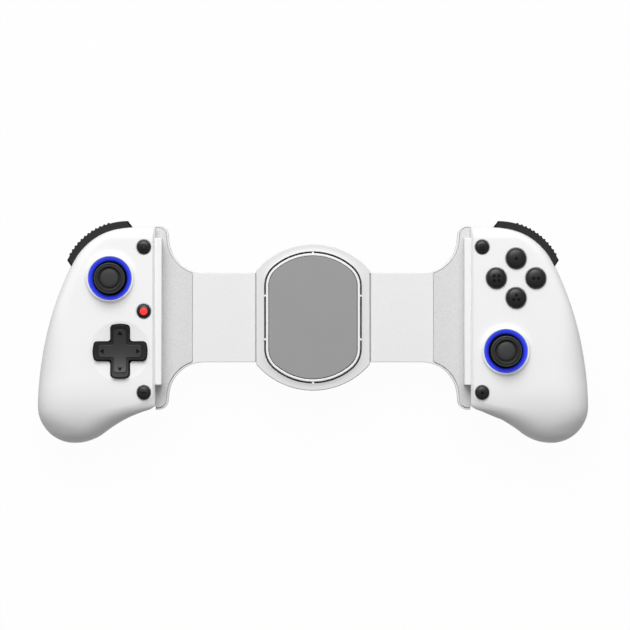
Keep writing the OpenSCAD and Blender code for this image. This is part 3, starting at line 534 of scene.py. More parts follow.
def palm_z(y):
    """Height of the back before it rolls into the tip."""
    return -BACK_DEPTH - (PALM_DEPTH - BACK_DEPTH) * along(y, HANDLE_Y, HANDLE_Y + PALM_Y)


def between(a, b, steps):
    """Points inside a straight run from a to b, ends left out."""
    return [tuple(p + (q - p) * i / steps for p, q in zip(a, b)) for i in range(1, steps)]


print("back at the shoulder", palm_z(WALL_HALF), "and at the palm", palm_z(-PALM_Y), "mm")

# %% [markdown]
# Each corner of a cross-section is a quarter of an oval. Its two sizes are given at the shoulder, with what
# they gain on the way down the handle, and neither may take more than a share of the section.

# %% Grip cross-section
SEAM, SEAM_SHARE, SEAM_ROOM = 0.28, 0.012, 1.5
BEND, FLAT, INNER, WALL_STEPS = 14, 18, 10, 3
SOFT, CHAMFER, CHAMFER_FADE = 0.84, 1.8, 4.0
FULL = 2.4
FRONT_OUTER = ((7.0, 9.0, 0.55), (6.5, 6.0, 0.46))
BACK_OUTER = ((15.0, 7.0, 0.55), (9.0, 4.0, 0.5))
FRONT_INNER = ((1.2, 24.0, 0.44), (1.6, 6.0, 0.46))
BACK_INNER = ((3.0, 12.0, 0.44), (3.0, 9.0, 0.48))
FRONT_NECK, FRONT_DROP, BACK_NECK = (-37.5, 7.5), (-41.0, 10.0), (6.0 - WALL_HALF, 24.0)


def corner_size(size, t, e, room):
    """Size of a corner that has gained t of its growth, drawn in by e and kept to its share of the room."""
    start, gain, share = size
    return min(start + gain * t - e, share * room)


def bend(cx, cz, rx, rz, start, steps, power=SOFT):
    """Quarter of an oval in (x, z): power 1 is an ellipse, less is squarer, and 2 is a straight chamfer."""
    points = []
    for i in range(steps + 1):
        angle = math.radians(start + 90 * i / steps)
        c, s = (math.copysign(abs(v) ** power, v) for v in (math.cos(angle), math.sin(angle)))
        points.append((cx + rx * c, cz + rz * s))
    return points


def section(y, e, front):
    """One row of a half shell, drawn in by e, from the outer parting line to the inner one."""
    x0, x1 = inner_x(y, e), outer_x(y, e)
    top_edge = TOP_ROUND * quarter(limit((y - WALL_HALF + e + TOP_ROUND) / TOP_ROUND), FULL)
    z1 = FACE_Z - e - top_edge - (FACE_Z - e + TIP_DEPTH) * quarter(roll(y, ROLL_Y, e), FULL)
    q = quarter(roll(y, PALM_Y, e))
    z0 = (palm_z(y) + e) * (1 - q) - TIP_DEPTH * q + top_edge
    w, h = x1 - x0, z1 - z0
    t = along(y, HANDLE_Y, HANDLE_RUN)
    fx, fz = (corner_size(size, t, e, room) for size, room in zip(FRONT_OUTER, (w, h)))
    bx, bz = (corner_size(size, t, e, room) for size, room in zip(BACK_OUTER, (w, h)))
    part = SPLIT_Z - (SPLIT_Z + TIP_DEPTH) * ease(roll(y, ROLL_Y, e))
    seam = min(SEAM, SEAM_SHARE * h)
    zp = max(z0 + bz + SEAM_ROOM * seam, min(z1 - fz - SEAM_ROOM * seam, part))
    draw = seam if e == 0 else 0.0
    if front:
        n = along(y, *FRONT_NECK)
        ix = corner_size(FRONT_INNER[0], n, 0, w)
        iz = corner_size(FRONT_INNER[1], along(y, *FRONT_DROP), 0, h)
        edge = bend(x1 - fx, z1 - fz, fx, fz, 0, BEND)
        corner = bend(x0 + ix, z1 - iz, ix, iz, 90, INNER, max(1.0, CHAMFER - CHAMFER_FADE * n))
        near, far = (x1, zp + seam), (x0, zp + seam)
    else:
        n = along(y, *BACK_NECK)
        ix, iz = (corner_size(size, n, 0, room) for size, room in zip(BACK_INNER, (w, h)))
        edge = bend(x1 - bx, z0 + bz, bx, bz, 270, BEND)[::-1]
        corner = bend(x0 + ix, z0 + iz, ix, iz, 180, INNER)[::-1]
        near, far = (x1, zp - seam), (x0, zp - seam)
    row = [(x1 - draw, zp), near] + between(near, edge[0], WALL_STEPS) + edge
    row += between(edge[-1], corner[0], FLAT) + corner
    return row + between(corner[-1], far, WALL_STEPS) + [far, (x0 + draw, zp)]


print("points in a row:", len(section(0.0, 0.0, True)))

# %% [markdown]
# A shell is a grid whose rows are cross-sections: each point of the grid is moved to its place. A second grid
# inside gives the wall, and the two are bridged along the parting line, where each wall steps in a little, so
# that the closed halves show a fine line.

# %% Half shells
MIDDLE_ROWS = 44


def rows_y(e):
    """Heights of the rows, close together where the outline turns."""
    top = [SHOULDER.y + (SHOULDER_R - e) * math.sin(math.radians(a)) for a in range(90, 31, -2)]
    foot = [TIP.y - (TIP_R - e) * math.sin(math.radians(a)) for a in range(4, 89, 3)]
    middle = [top[-1] + (foot[0] - top[-1]) * i / MIDDLE_ROWS for i in range(1, MIDDLE_ROWS)]
    return top + middle + foot


def skin(e, front):
    """One grid of the shell, drawn in by e, with its two ends closed."""
    rows = rows_y(e)
    sections = [section(y, e, front) for y in rows]
    last_row, last_column = len(rows) - 1, len(sections[0]) - 1
    bm = bmesh.new()
    bmesh.ops.create_grid(bm, x_segments=last_column, y_segments=last_row, size=0.5)
    ends = ([], [])
    for vertex in bm.verts:
        column, row = round((vertex.co.x + 0.5) * last_column), round((vertex.co.y + 0.5) * last_row)
        x, z = sections[row][column]
        vertex.co = (x, rows[row], z)
        if row in (0, last_row):
            ends[row > 0].append((column, vertex))
    for end in ends:
        bm.faces.new([vertex for _, vertex in sorted(end, key=lambda pair: pair[0])])
    return bm


def half_shell(front):
    bm = joined(skin(0.0, front), skin(SHELL_WALL, front))
    bmesh.ops.bridge_loops(bm, edges=[e for e in bm.edges if len(e.link_faces) == 1])
    bmesh.ops.recalc_face_normals(bm, faces=bm.faces)
    return bm


print("rows in a shell:", len(rows_y(0.0)))

# %% [markdown]
# The openings in a face are bored with flared cutters, so that each hole gets a fine chamfer that catches the
# light. The same places serve the keys and sticks later on.

# %% Bores for keys and sticks
UPPER, LOWER = (95.3, 18.4), (90.5, -15.8)
SMALL_X, SMALL_R = 79.4, 3.2
SMALL_Y = {"top": 33.0, "middle": 2.9, "bottom": -35.3}
FACE_R, FACE_SPREAD = 4.7, 9.26
FACE_STEPS = {"north": (0, 1), "east": (1, 0), "south": (0, -1), "west": (-1, 0)}
FACE_AT = {
    name: (UPPER[0] + dx * FACE_SPREAD, UPPER[1] + dy * FACE_SPREAD) for name, (dx, dy) in FACE_STEPS.items()
}
KEY_GAP, KEY_CHAMFER = 0.15, 0.45
STICK_BORE = 10.7
BORE_LOW, BORE_HIGH, BORE_OVER = -1.0, 20.0, 0.5


def key_bore(at, radius):
    r, high = radius + KEY_GAP, FACE_Z + BORE_OVER
    flare = [(r, FACE_Z - KEY_CHAMFER), (r + KEY_CHAMFER + BORE_OVER, high)]
    return turned([(0, BORE_LOW), (r, BORE_LOW)] + flare + [(0, high)], at, 48)


def stick_bore(at):
    return turned([(0, BORE_LOW), (STICK_BORE, BORE_LOW), (STICK_BORE, BORE_HIGH), (0, BORE_HIGH)], at)


print(len(FACE_AT), "face keys", FACE_SPREAD, "mm from their middle")

# %% [markdown]
# The direction pad is a cross in a shallow bowl. Its opening is the same cross, wider by the gap that the
# tilting pad needs. The bowl's rim is almost level, so it is marked as sharp by hand.

# %% Bowl and opening of the direction pad
DISH_R, DISH_DEPTH, DISH_OVER, DISH_FLARE = 14.1, 1.05, 0.9, 1.4
DISH_NEAR, DISH_LEVEL = 0.04, 0.05
DISH_STEPS = (0, 4, 6.5, 8.5, 10, 11.2, 12.2, 13, 13.5)
CROSS_HALF, CROSS_REACH, CROSS_CORNER = 4.05, 12.4, 1.2
CROSS_GAP, CROSS_END_GAP, BORE_CORNER = 0.65, 0.55, 1.3
QUARTERS = (0, 90, 180, 270)
UPRIGHT = 0.3


def cross_outline(half, reach):
    """Plan of the direction pad's cross: four arms with curved ends."""
    lean = math.degrees(math.asin(half / reach))
    points = []
    for turn in QUARTERS:
        c, s = math.cos(math.radians(turn)), math.sin(math.radians(turn))
        arm = [(half, -half)] + arc((0, 0), reach, -lean, lean, 8)
        points += [(x * c - y * s, x * s + y * c) for x, y in arm]
    return points


def corner_edges(bm):
    """Upright edges of a pulled-up plan that stand at its corners."""
    upright = [e for e in bm.edges if abs(e.verts[0].co.z - e.verts[1].co.z) > UPRIGHT]
    return [e for e in upright if e.calc_face_angle(0.0) > SQUARE]


def cross_bore():
    """Cutter for the direction pad's opening: the gap leaves room for the pad's tilt."""
    bm = plate(cross_outline(CROSS_HALF + CROSS_GAP, CROSS_REACH + CROSS_END_GAP), BORE_LOW, BORE_HIGH)
    rounded(bm, corner_edges(bm), BORE_CORNER, 4)
    return moved(bm, Matrix.Translation((*LOWER, 0.0)))


def dish():
    """Cutter for the shallow bowl round the direction pad."""
    bowl = [(r, FACE_Z - DISH_DEPTH * (1 - (r / DISH_R) ** 2)) for r in DISH_STEPS] + [(DISH_R, FACE_Z)]
    over = FACE_Z + DISH_OVER
    return turned(bowl + [(DISH_R + DISH_FLARE, over), (0, over)], LOWER, 96)


def keep_dish_rim(bm):
    """Marks the bowl's rim as sharp, because its angle is too small for the general limit."""
    def on_rim(v):
        off = abs((v.co.xy - Vector(LOWER)).length - DISH_R)
        return off < DISH_NEAR and v.co.z > FACE_Z - DISH_LEVEL

    for edge in bm.edges:
        if all(on_rim(v) for v in edge.verts):
            edge.smooth = False


print("bowl", DISH_DEPTH, "mm deep, gap round the cross", CROSS_GAP, "mm")

# %% [markdown]
# The shoulder is notched for the bumper and trigger. Behind the trigger the notch narrows to its swing. The
# notch is drawn in the shoulder's own frame, which is turned towards the finger.

# %% Shoulder bay
PRESS_TURN = 33.0
HUB = (87.0, 14.15)
SHOULDER_FRAME = Matrix.Translation((*HUB, 0.0)) @ Matrix.Rotation(math.radians(-PRESS_TURN), 4, "Z")
BAY_HALF, BAY_IN, BAY_OUT = 17.35, 16.5, 48.0
BAY_FLOOR, BAY_TOP, BAY_BACK, BAY_LAP = -10.0, 6.8, -40.0, 0.1
TRIGGER_SWING = 23.4


def shoulder_bay(front):
    """Cutters for the bumper and trigger bay."""
    upper = block((-BAY_HALF, BAY_IN, BAY_FLOOR), (BAY_HALF, BAY_OUT, BAY_TOP))
    if front:
        return [moved(upper, SHOULDER_FRAME)]
    lean = math.degrees(math.asin(BAY_HALF / TRIGGER_SWING))
    plan = arc((0, 0), TRIGGER_SWING, 90 + lean, 90 - lean, 16) + [(BAY_HALF, BAY_OUT), (-BAY_HALF, BAY_OUT)]
    return [moved(bm, SHOULDER_FRAME) for bm in (upper, plate(plan, BAY_BACK, BAY_FLOOR + BAY_LAP))]


print("shoulder bay turned by", PRESS_TURN, "degrees")

# %% [markdown]
# A raised collar surrounds each stick. On the mould it flows out of the face, so its foot meets the face
# almost level and its lip is small and round.

# %% Stick collar
COLLAR_LIP = [
    (10.2, 7.6), (10.2, 11.6), (10.28, 11.78), (10.45, 11.87), (10.7, 11.9), (10.92, 11.84), (11.1, 11.66),
]
COLLAR_FOOT = [
    (11.25, 11.4), (11.42, 11.14), (11.62, 10.94), (11.9, 10.78), (12.3, 10.66), (12.8, 10.58),
    (13.4, 10.53), (14.0, 10.505), (14.5, 10.502), (14.5, 9.2),
]


def collar(at):
    return turned(COLLAR_LIP + COLLAR_FOOT, at, 96)


print("collar rises", round(max(z for _, z in COLLAR_LIP) - FACE_Z, 2), "mm above the face")

# %% [markdown]
# The charging inlet opens in the hollow neck of the right grip. Its bore has to meet the curved wall
# squarely, so its place and turn come from the neck's arc.

# %% Inlet opening
INLET_Y, INLET_Z = -46.2, -6.73
INLET_X = NECK.x + half_chord(NECK_R, INLET_Y - NECK.y)
INLET_TURN = math.degrees(math.asin((INLET_Y - NECK.y) / NECK_R)) - 90
INLET_HALF, INLET_R = 2.85, 1.75
INLET_IN, INLET_OUT = -8.0, 4.0


def inlet_cutter():
    """A long round-ended bore along the inlet's axis."""
    ends = arc((INLET_HALF, 0), INLET_R, -90, 90, 12) + arc((-INLET_HALF, 0), INLET_R, 90, 270, 12)
    turn = Matrix.Rotation(math.radians(INLET_TURN), 4, "Z") @ Matrix.Rotation(math.radians(90), 4, "X")
    place = Matrix.Translation((INLET_X, INLET_Y, INLET_Z))
    return moved(plate(ends, INLET_IN, INLET_OUT), place @ turn)


print("inlet at x", round(INLET_X, 1), "turned", round(INLET_TURN, 1), "degrees")

# %% [markdown]
# The left face has three small keys, a stick above and the direction pad below. The right face has two small
# keys, the four face keys above and a stick below. One function serves both, with its own list of cutters.

# %% Front shells
def front_shell(side):
    keys = ("top", "middle", "bottom") if side < 0 else ("top", "bottom")
    cutters = shoulder_bay(True) + [key_bore((SMALL_X, SMALL_Y[k]), SMALL_R) for k in keys]
    if side < 0:
        stick = UPPER
        cutters += [dish(), cross_bore()]
    else:
        stick = LOWER
        cutters += [key_bore(at, FACE_R) for at in FACE_AT.values()] + [inlet_cutter()]
    shell = cut(half_shell(True), *cutters, stick_bore(stick))
    keep_dish_rim(shell)
    return joined(shell, collar(stick))


for hand, side in SIDES.items():
    piece = set_piece(
        front_shell(side), f"{hand}_face_shell", shell_white, f"{hand}_grip",
        [f"{hand}_front_shell"], side,
    )
    print(piece.name, len(piece.data.polygons), "faces")

# %% [markdown]
# The rear shell carries the screw posts. Each post is a tube with a seat for the screw head, so that the
# holes in the back are real ones with a screw at the bottom. Two more screws hold the tabs of the wing.

# %% Rear shells
POSTS = [(WALL_X + 6.3, -27.5), (WALL_X + 37, -23.5), (WALL_X + 5.6, 12), (WALL_X + 34, 5)]
TAB_SCREWS = [(WALL_X + 4.4, 19.5), (WALL_X + 4.4, -19.5)]
POST_SEAT, POST_R = -8.6, 3.6
TAB_SEAT, TAB_R = -12.6, 3.2
TAB_HALF, TAB_LOW, TAB_TOP, TAB_OUT, TAB_IN = 3.1, -9.1, -5.8, 1.0, 3.0
HEAD_BORE, THREAD_BORE, SEAT_WALL = 2.1, 1.0, 1.0


def post(at, seat, radius):
    """A tube that starts in the middle of the back's wall and ends in a pierced seat."""
    foot = palm_z(at[1]) + SHELL_WALL / 2
    inside = [(HEAD_BORE, foot), (HEAD_BORE, seat), (THREAD_BORE, seat), (THREAD_BORE, seat + SEAT_WALL)]
    return turned(inside + [(radius, seat + SEAT_WALL), (radius, foot)], at, 32)


def rear_shell(side):
    seats = [(at, POST_SEAT, POST_R) for at in POSTS] + [(at, TAB_SEAT, TAB_R) for at in TAB_SCREWS]
    cutters = shoulder_bay(False)
    for at, seat, _ in seats:
        cutters.append(turned([(0, BAY_BACK), (HEAD_BORE, BAY_BACK), (HEAD_BORE, seat), (0, seat)], at, 32))
    for _, y in TAB_SCREWS:
        low, high = (WALL_X - TAB_OUT, y - TAB_HALF, TAB_LOW), (WALL_X + TAB_IN, y + TAB_HALF, TAB_TOP)
        cutters.append(block(low, high))
    if side > 0:
        cutters.append(inlet_cutter())
    return joined(cut(half_shell(False), *cutters), *[post(*place) for place in seats])


for hand, side in SIDES.items():
    piece = set_piece(
        rear_shell(side), f"{hand}_back_shell", shell_white, f"{hand}_grip",
        [f"{hand}_rear_shell"], side,
    )
    print(piece.name, len(piece.data.polygons), "faces")

# %% [markdown]
# ## Sticks
# A stick is a rubber cap with a ring-shaped rim, a groove and a crowned middle, on a dome that closes the
# bore. Cap and dome tilt as one, so they are one outline on the lathe. Round it sits the lit ring, which
# slopes down towards the stick.

# %% Stick caps and light rings
PIVOT, DOME_R, DOME_WALL = (0, 1.0), 11.0, 1.0
DOME_TOP, DOME_FOOT, DOME_INSIDE = 70.5, 25.0, 76.7
NECK_TOP = 12.1
CAP_TOP = [
    (0, 18.5), (1.4, 18.48), (2.6, 18.41), (3.5, 18.3), (4.1, 18.14), (4.4, 17.95), (4.6, 17.6),
    (4.78, 17.45), (4.98, 17.6), (5.12, 18.1), (5.28, 18.6), (5.5, 18.95), (5.75, 19.08), (5.95, 18.98),
    (6.1, 18.7), (6.2, 18.3), (6.38, 18.3), (6.5, 18.62), (6.7, 18.74), (6.92, 18.64), (7.1, 18.36),
    (7.2, 17.95), (7.2, 17.6), (7.08, 17.2),
]
CAP_NECK = [
    (6.8, 16.9), (6.2, 16.5), (5.2, 15.95), (4.2, 15.35),
    (3.65, 14.6), (3.45, 13.4), (3.4, 12.2), (3.5, 11.55),
]
CAP_SOCKET = [(2.3, 6.2), (1.12, 6.2), (1.12, 16.1), (0, 16.1)]
LIT_SLOPE = [(8.05, 9.4), (8.05, 9.75), (8.2, 9.95), (9.1, 10.78), (9.9, 11.38), (10.02, 11.4), (10.1, 11.3)]
LIT_FOOT = [(10.1, 8.6), (11.4, 8.6), (11.4, 7.5), (9.6, 7.5), (9.6, 9.3)]


def stick_cap(at):
    dome = arc(PIVOT, DOME_R, DOME_TOP, DOME_FOOT, 20)
    dome += arc(PIVOT, DOME_R - DOME_WALL, DOME_FOOT, DOME_INSIDE, 16)
    bm = turned(CAP_TOP + CAP_NECK + dome + CAP_SOCKET, at, 96)
    for face in bm.faces:
        face.material_index = int(face.calc_center_median().z < NECK_TOP)
    return bm


for hand, side in SIDES.items():
    at = UPPER if side < 0 else LOWER
    cap = set_piece(
        stick_cap(at), f"{hand}_thumb_cap", stick_rubber, f"{hand}_stick",
        [f"{hand}_stick_cap"], side,
    )
    cap.data.materials.append(mark_black)
    ring_piece = set_piece(
        turned(LIT_SLOPE + LIT_FOOT, at, 96), f"{hand}_lit_ring", ring_blue, f"{hand}_grip",
        [f"{hand}_light_ring"], side,
    )
    print(cap.name, "and", ring_piece.name)

# %% [markdown]
# ## Keys
# The keys are glossy domes. Their marks are plain and generic: dots that count round the face keys, lines,
# a bar, a ring and a lit dot. Each key is one outline on the lathe, with its stem and its dome.

# %% Key forms
SMALL_DOME = [(0, 10.7), (0.06, 11.0), (0.22, 11.22), (0.52, 11.4), (1.1, 11.54), (1.85, 11.64), (2.5, 11.69)]
FACE_DOME = [(0, 11.2), (0.05, 11.55), (0.22, 11.86), (0.55, 12.1), (1.2, 12.32), (2.2, 12.48), (3.4, 12.58)]
SMALL_TOP = [(SMALL_R - inwards, z) for inwards, z in SMALL_DOME]
FACE_TOP = [(FACE_R - inwards, z) for inwards, z in FACE_DOME]
SMALL_CROWN, FACE_CROWN = 11.7, 12.6
KEY_FOOT = 1.0


def small_key(at):
    stem = [(0, KEY_FOOT), (2.2, KEY_FOOT), (2.2, 6.3), (SMALL_R, 7.1)]
    return turned(stem + SMALL_TOP + [(0, SMALL_CROWN)], at, 64)


def face_key(at):
    stem = [(0, KEY_FOOT), (3.4, KEY_FOOT), (3.4, 7.4), (5.45, 7.4), (5.45, 8.4), (FACE_R, 8.4)]
    return turned(stem + FACE_TOP + [(0, FACE_CROWN)], at, 72)


print("small and face keys rise", [round(z - FACE_Z, 1) for z in (SMALL_CROWN, FACE_CROWN)], "mm")

# %% [markdown]
# A mark could be painted by a mask in the material, but a thin patch keeps its edge sharp at any distance. It
# is drawn flat, thickened, and each of its points is set to the dome's height at that place.

# %% Marks on the keys
MARK_RISE, MARK_ROOT = 0.04, 0.2


def dome_height(r, top, crown):
    """Height of a key's dome at a distance from its middle."""
    points = [(0.0, crown)] + top[::-1]
    for (r0, z0), (r1, z1) in zip(points, points[1:]):
        if r <= r1:
            return z0 + (z1 - z0) * (r - r0) / (r1 - r0)
    return top[0][1]


def laid_on(bm, at, top, crown):
    """Thickens a flat patch drawn round the origin and lays it on a key's dome."""
    upper = set(pulled_up(bm, MARK_RISE + MARK_ROOT))
    for vertex in bm.verts:
        rise = MARK_RISE if vertex in upper else -MARK_ROOT
        vertex.co.z = dome_height(vertex.co.xy.length, top, crown) + rise
    bm.normal_update()
    bmesh.ops.translate(bm, vec=(*at, 0.0), verts=bm.verts)
    return bm


def dot(x, y, radius):
    bm = bmesh.new()
    bmesh.ops.create_circle(bm, cap_ends=True, cap_tris=True, segments=24, radius=radius)
    bmesh.ops.subdivide_edges(bm, edges=bm.edges[:], cuts=2, use_grid_fill=True)
    bmesh.ops.translate(bm, vec=(x, y, 0), verts=bm.verts)
    return bm


def bar(x, y, length, width):
    bm = bmesh.new()
    bmesh.ops.create_grid(bm, x_segments=10, y_segments=1, size=0.5)
    bmesh.ops.scale(bm, vec=(length, width, 1), verts=bm.verts)
    bmesh.ops.translate(bm, vec=(x, y, 0), verts=bm.verts)
    return bm


def ring(radius, width):
    bm = bmesh.new()
    bmesh.ops.create_circle(bm, cap_ends=False, segments=40, radius=radius)
    wider = bmesh.ops.extrude_edge_only(bm, edges=bm.edges[:])["geom"]
    outer = [v for v in wider if isinstance(v, bmesh.types.BMVert)]
    grown = (radius + width) / radius
    bmesh.ops.scale(bm, vec=(grown, grown, 1), verts=outer)
    return bm


print("marks stand", MARK_RISE, "mm proud")

# %% Face keys
DOT_R = 0.75
DOT_PLACES = {
    "north": [(0, 0)],
    "east": [(-1.1, 0), (1.1, 0)],
    "south": [(-1.2, -0.7), (1.2, -0.7), (0, 1.35)],
    "west": [(-1.1, -1.1), (1.1, -1.1), (-1.1, 1.1), (1.1, 1.1)],
}
for name, at in FACE_AT.items():
    body = f"face_button_{name}"
    set_piece(face_key(at), f"{name}_key", key_black, body, [body])
    marks = [laid_on(dot(x, y, DOT_R), at, FACE_TOP, FACE_CROWN) for x, y in DOT_PLACES[name]]
    set_piece(joined(*marks), f"{name}_key_dots", mark_black, body, ())
print("face keys:", ", ".join(FACE_AT))

# %% Small keys
SMALL_MARKS = {
    ("left", "top"): lambda: [ring(1.05, 0.35)],
    ("left", "middle"): lambda: [dot(0, 0, 1.75)],
    ("left", "bottom"): lambda: [bar(0, 0, 2.4, 0.5)],
    ("right", "top"): lambda: [bar(0, y, 2.6, 0.42) for y in (-1.0, 0.0, 1.0)],
    ("right", "bottom"): lambda: [dot(0, 0, 0.8)],
}
LIT_KEY = ("left", "middle")
for (hand, place), drawn in SMALL_MARKS.items():
    side, at = SIDES[hand], (SMALL_X, SMALL_Y[place])
    body = f"{hand}_{place}_button"
    set_piece(small_key(at), f"{hand}_{place}_key", key_black, body, [body], side)
    mark_finish = dot_red if (hand, place) == LIT_KEY else mark_black
    marks = [laid_on(bm, at, SMALL_TOP, SMALL_CROWN) for bm in drawn()]
    set_piece(joined(*marks), f"{hand}_{place}_key_mark", mark_finish, body, (), side)
print("small keys:", len(SMALL_MARKS))

# %% [markdown]
# The direction pad is one rigid cross. Its walls rise straight out of the bowl, its rim is rounded, and a
# slightly raised field with an arrow on each arm sits inside the rim. Its top sinks towards the middle, where
# the thumb rests. A flat face can't bend, so planes cut it into cells first. The rim and the flange below it
# take a second, darker material: painted shade for the light that the rim's rounded slopes would lose.

# %% Direction pad
CROSS_FOOT, CROSS_RIM, CROSS_TOP = 6.1, 12.0, 12.5
RIM_ROUND, RIM_INSET = 0.55, 0.12
FIELD_HALF, FIELD_REACH, FIELD_ROOT, FIELD_CORNER, FIELD_ROUND = 2.95, 10.1, 0.4, 0.9, 0.35
FLANGE_IN, FLANGE_R, FLANGE_LOW, FLANGE_TOP = 3.3, 11.4, 5.3, 6.6
ARROW_TIP, ARROW_FOOT, ARROW_HALF, ARROW_ROOT, ARROW_RISE = 9.5, 7.6, 1.2, 0.2, 0.06
HOLLOW, HOLLOW_RISE, HOLLOW_BASE = 0.45, 0.009, CROSS_RIM - 1.5
CELL, CELLS = 1.6, 7


def cross_plate(half, reach, low, high, corner, rim):
    """A cross pulled up from low to high, with round corners and a round upper rim."""
    bm = plate(cross_outline(half, reach), low, high)
    rounded(bm, corner_edges(bm), corner, 4)
    rounded(bm, rim_edges(bm, high), rim, 4)
    top = max(bm.faces, key=lambda face: face.calc_center_median().z)
    bmesh.ops.inset_region(bm, faces=[top], thickness=RIM_INSET)
    return bm


def hollowed(bm):
    """Cuts the top into small cells and bends it into a shallow hollow for the thumb."""
    for normal in ((1, 0, 0), (0, 1, 0)):
        for i in range(-CELLS, CELLS + 1):
            everything = bm.verts[:] + bm.edges[:] + bm.faces[:]
            bmesh.ops.bisect_plane(bm, geom=everything, plane_co=Vector(normal) * CELL * i, plane_no=normal)
    for vertex in bm.verts:
        if vertex.co.z > HOLLOW_BASE:
            vertex.co.z += HOLLOW_RISE * vertex.co.xy.length_squared - HOLLOW
    return bm


def cross():
    rim = hollowed(cross_plate(CROSS_HALF, CROSS_REACH, CROSS_FOOT, CROSS_RIM, CROSS_CORNER, RIM_ROUND))
    flange = [(FLANGE_IN, FLANGE_LOW), (FLANGE_R, FLANGE_LOW)]
    flange += [(FLANGE_R, FLANGE_TOP), (FLANGE_IN, FLANGE_TOP)]
    joined(rim, turned(flange))
    # Painted shade: every face of the rim and flange takes the darker second material.
    for face in rim.faces:
        face.material_index = 1
    low = CROSS_RIM - FIELD_ROOT
    field = cross_plate(FIELD_HALF, FIELD_REACH, low, CROSS_TOP, FIELD_CORNER, FIELD_ROUND)
    return joined(rim, hollowed(field))


def arrow(turn):
    outline = [(ARROW_TIP, 0), (ARROW_FOOT, ARROW_HALF), (ARROW_FOOT, -ARROW_HALF)]
    bm = plate(outline, CROSS_TOP - ARROW_ROOT, CROSS_TOP + ARROW_RISE)
    return moved(hollowed(bm), Matrix.Rotation(math.radians(turn), 4, "Z"))


pad_place = Matrix.Translation((*LOWER, 0.0))
pad = set_piece(
    moved(cross(), pad_place), "direction_pad", cross_black, "dpad",
    ["dpad_cross"], SIDES["left"],
)
pad.data.materials.append(cross_rim_painted_shade)
arrows = moved(joined(*[arrow(turn) for turn in QUARTERS]), pad_place)
set_piece(arrows, "direction_arrows", mark_black, "dpad", (), SIDES["left"])
print(pad.name, len(pad.data.polygons), "faces")

# %% [markdown]
# ## Shoulders
# The bumper is a curved bar that follows the shoulder, with a row of small ridges where the finger rests.
# Its outline is drawn with the ridges in it, then pulled up and rounded along its rims.

# %% Bumpers
BUMPER_R, BUMPER_IN, BUMPER_HALF = 31.2, 26.0, 17.0
BUMPER_LOW, BUMPER_TOP = -1.0, 6.5
END_CHAMFER, BUMPER_ROUND, SHADED_END_BAND = 1.0, 0.3, 0.9
RIDGE = [(-0.7, 0.0), (-0.52, 0.16), (-0.3, 0.44), (0.0, 0.52), (0.3, 0.44), (0.52, 0.16), (0.7, 0.0)]
RIDGES, FIRST_RIDGE, RIDGE_STEP = 12, 16.0, 3.9
PLAIN_FROM, PLAIN_TO = 108.5, 61.2


def bumper():
    """A curved bar with ridges; the faces of its two ends take the second, black material as painted shade."""
    outer_lean = math.degrees(math.asin(BUMPER_HALF / BUMPER_R))
    inner_lean = math.degrees(math.asin(BUMPER_HALF / BUMPER_IN))
    outline = arc((0, 0), BUMPER_R, 90 + outer_lean, PLAIN_FROM, 8)
    for i in range(RIDGES):
        turn = math.radians(FIRST_RIDGE - i * RIDGE_STEP)
        c, s = math.cos(turn), math.sin(turn)
        outline += [(x * c - (BUMPER_R + rise) * s, x * s + (BUMPER_R + rise) * c) for x, rise in RIDGE]
    outline += arc((0, 0), BUMPER_R, PLAIN_TO, 90 - outer_lean, 3)
    outline += arc((0, 0), BUMPER_IN, 90 - inner_lean, 90 + inner_lean, 20)
    bm = plate(outline, BUMPER_LOW, BUMPER_TOP)
    ends = [e for e in rim_edges(bm, BUMPER_TOP) if all(abs(v.co.x) > BUMPER_HALF - 0.01 for v in e.verts)]
    rounded(bm, ends, END_CHAMFER, 1)
    rounded(bm, rim_edges(bm, BUMPER_TOP) + rim_edges(bm, BUMPER_LOW), BUMPER_ROUND, 2)
    # Painted shade: the sloping faces at both ends are coloured black.
    for face in bm.faces:
        in_painted_shade = abs(face.calc_center_median().x) > BUMPER_HALF - SHADED_END_BAND
        face.material_index = int(in_painted_shade and face.normal.z < 0.9)
    return bm


for hand, side in SIDES.items():
    bar_piece = set_piece(
        moved(bumper(), SHOULDER_FRAME), f"{hand}_ridged_bumper", shoulder_black, f"{hand}_bumper",
        [f"{hand}_bumper"], side,
    )
    # The black second material paints the shade on the bumper's ends.
    bar_piece.data.materials.append(mark_black)
    print(bar_piece.name, "with", RIDGES, "ridges")

# %% [markdown]
# ## Softened copies
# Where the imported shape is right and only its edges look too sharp, a copy is enough: its loose triangles are
# merged, flat faces are put back together, and its long edges are rounded.

# %% Copy with rounded edges
PACKED_POINT, FLAT_ANGLE = 0.002, math.radians(0.5)
STRIP_TOP = -2.8


def softened(name, width, long_edge=0.0, level=None, segments=2):
    """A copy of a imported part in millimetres, with its long sharp edges, or those at one level, rounded."""
    bm = bmesh.new()
    bm.from_mesh(nodes[name].data)
    bmesh.ops.scale(bm, vec=(1 / MM, 1 / MM, 1 / MM), verts=bm.verts)
    bmesh.ops.remove_doubles(bm, verts=bm.verts, dist=PACKED_POINT)
    bmesh.ops.dissolve_limit(bm, angle_limit=FLAT_ANGLE, verts=bm.verts, edges=bm.edges)
    sharp = [e for e in bm.edges if len(e.link_faces) == 2 and e.calc_face_angle(0.0) > SQUARE]
    if level is not None:
        sharp = [e for e in sharp if all(abs(v.co.z - level) < 0.01 for v in e.verts)]
    rounded(bm, [e for e in sharp if e.calc_length() > long_edge], width, segments)
    return bm


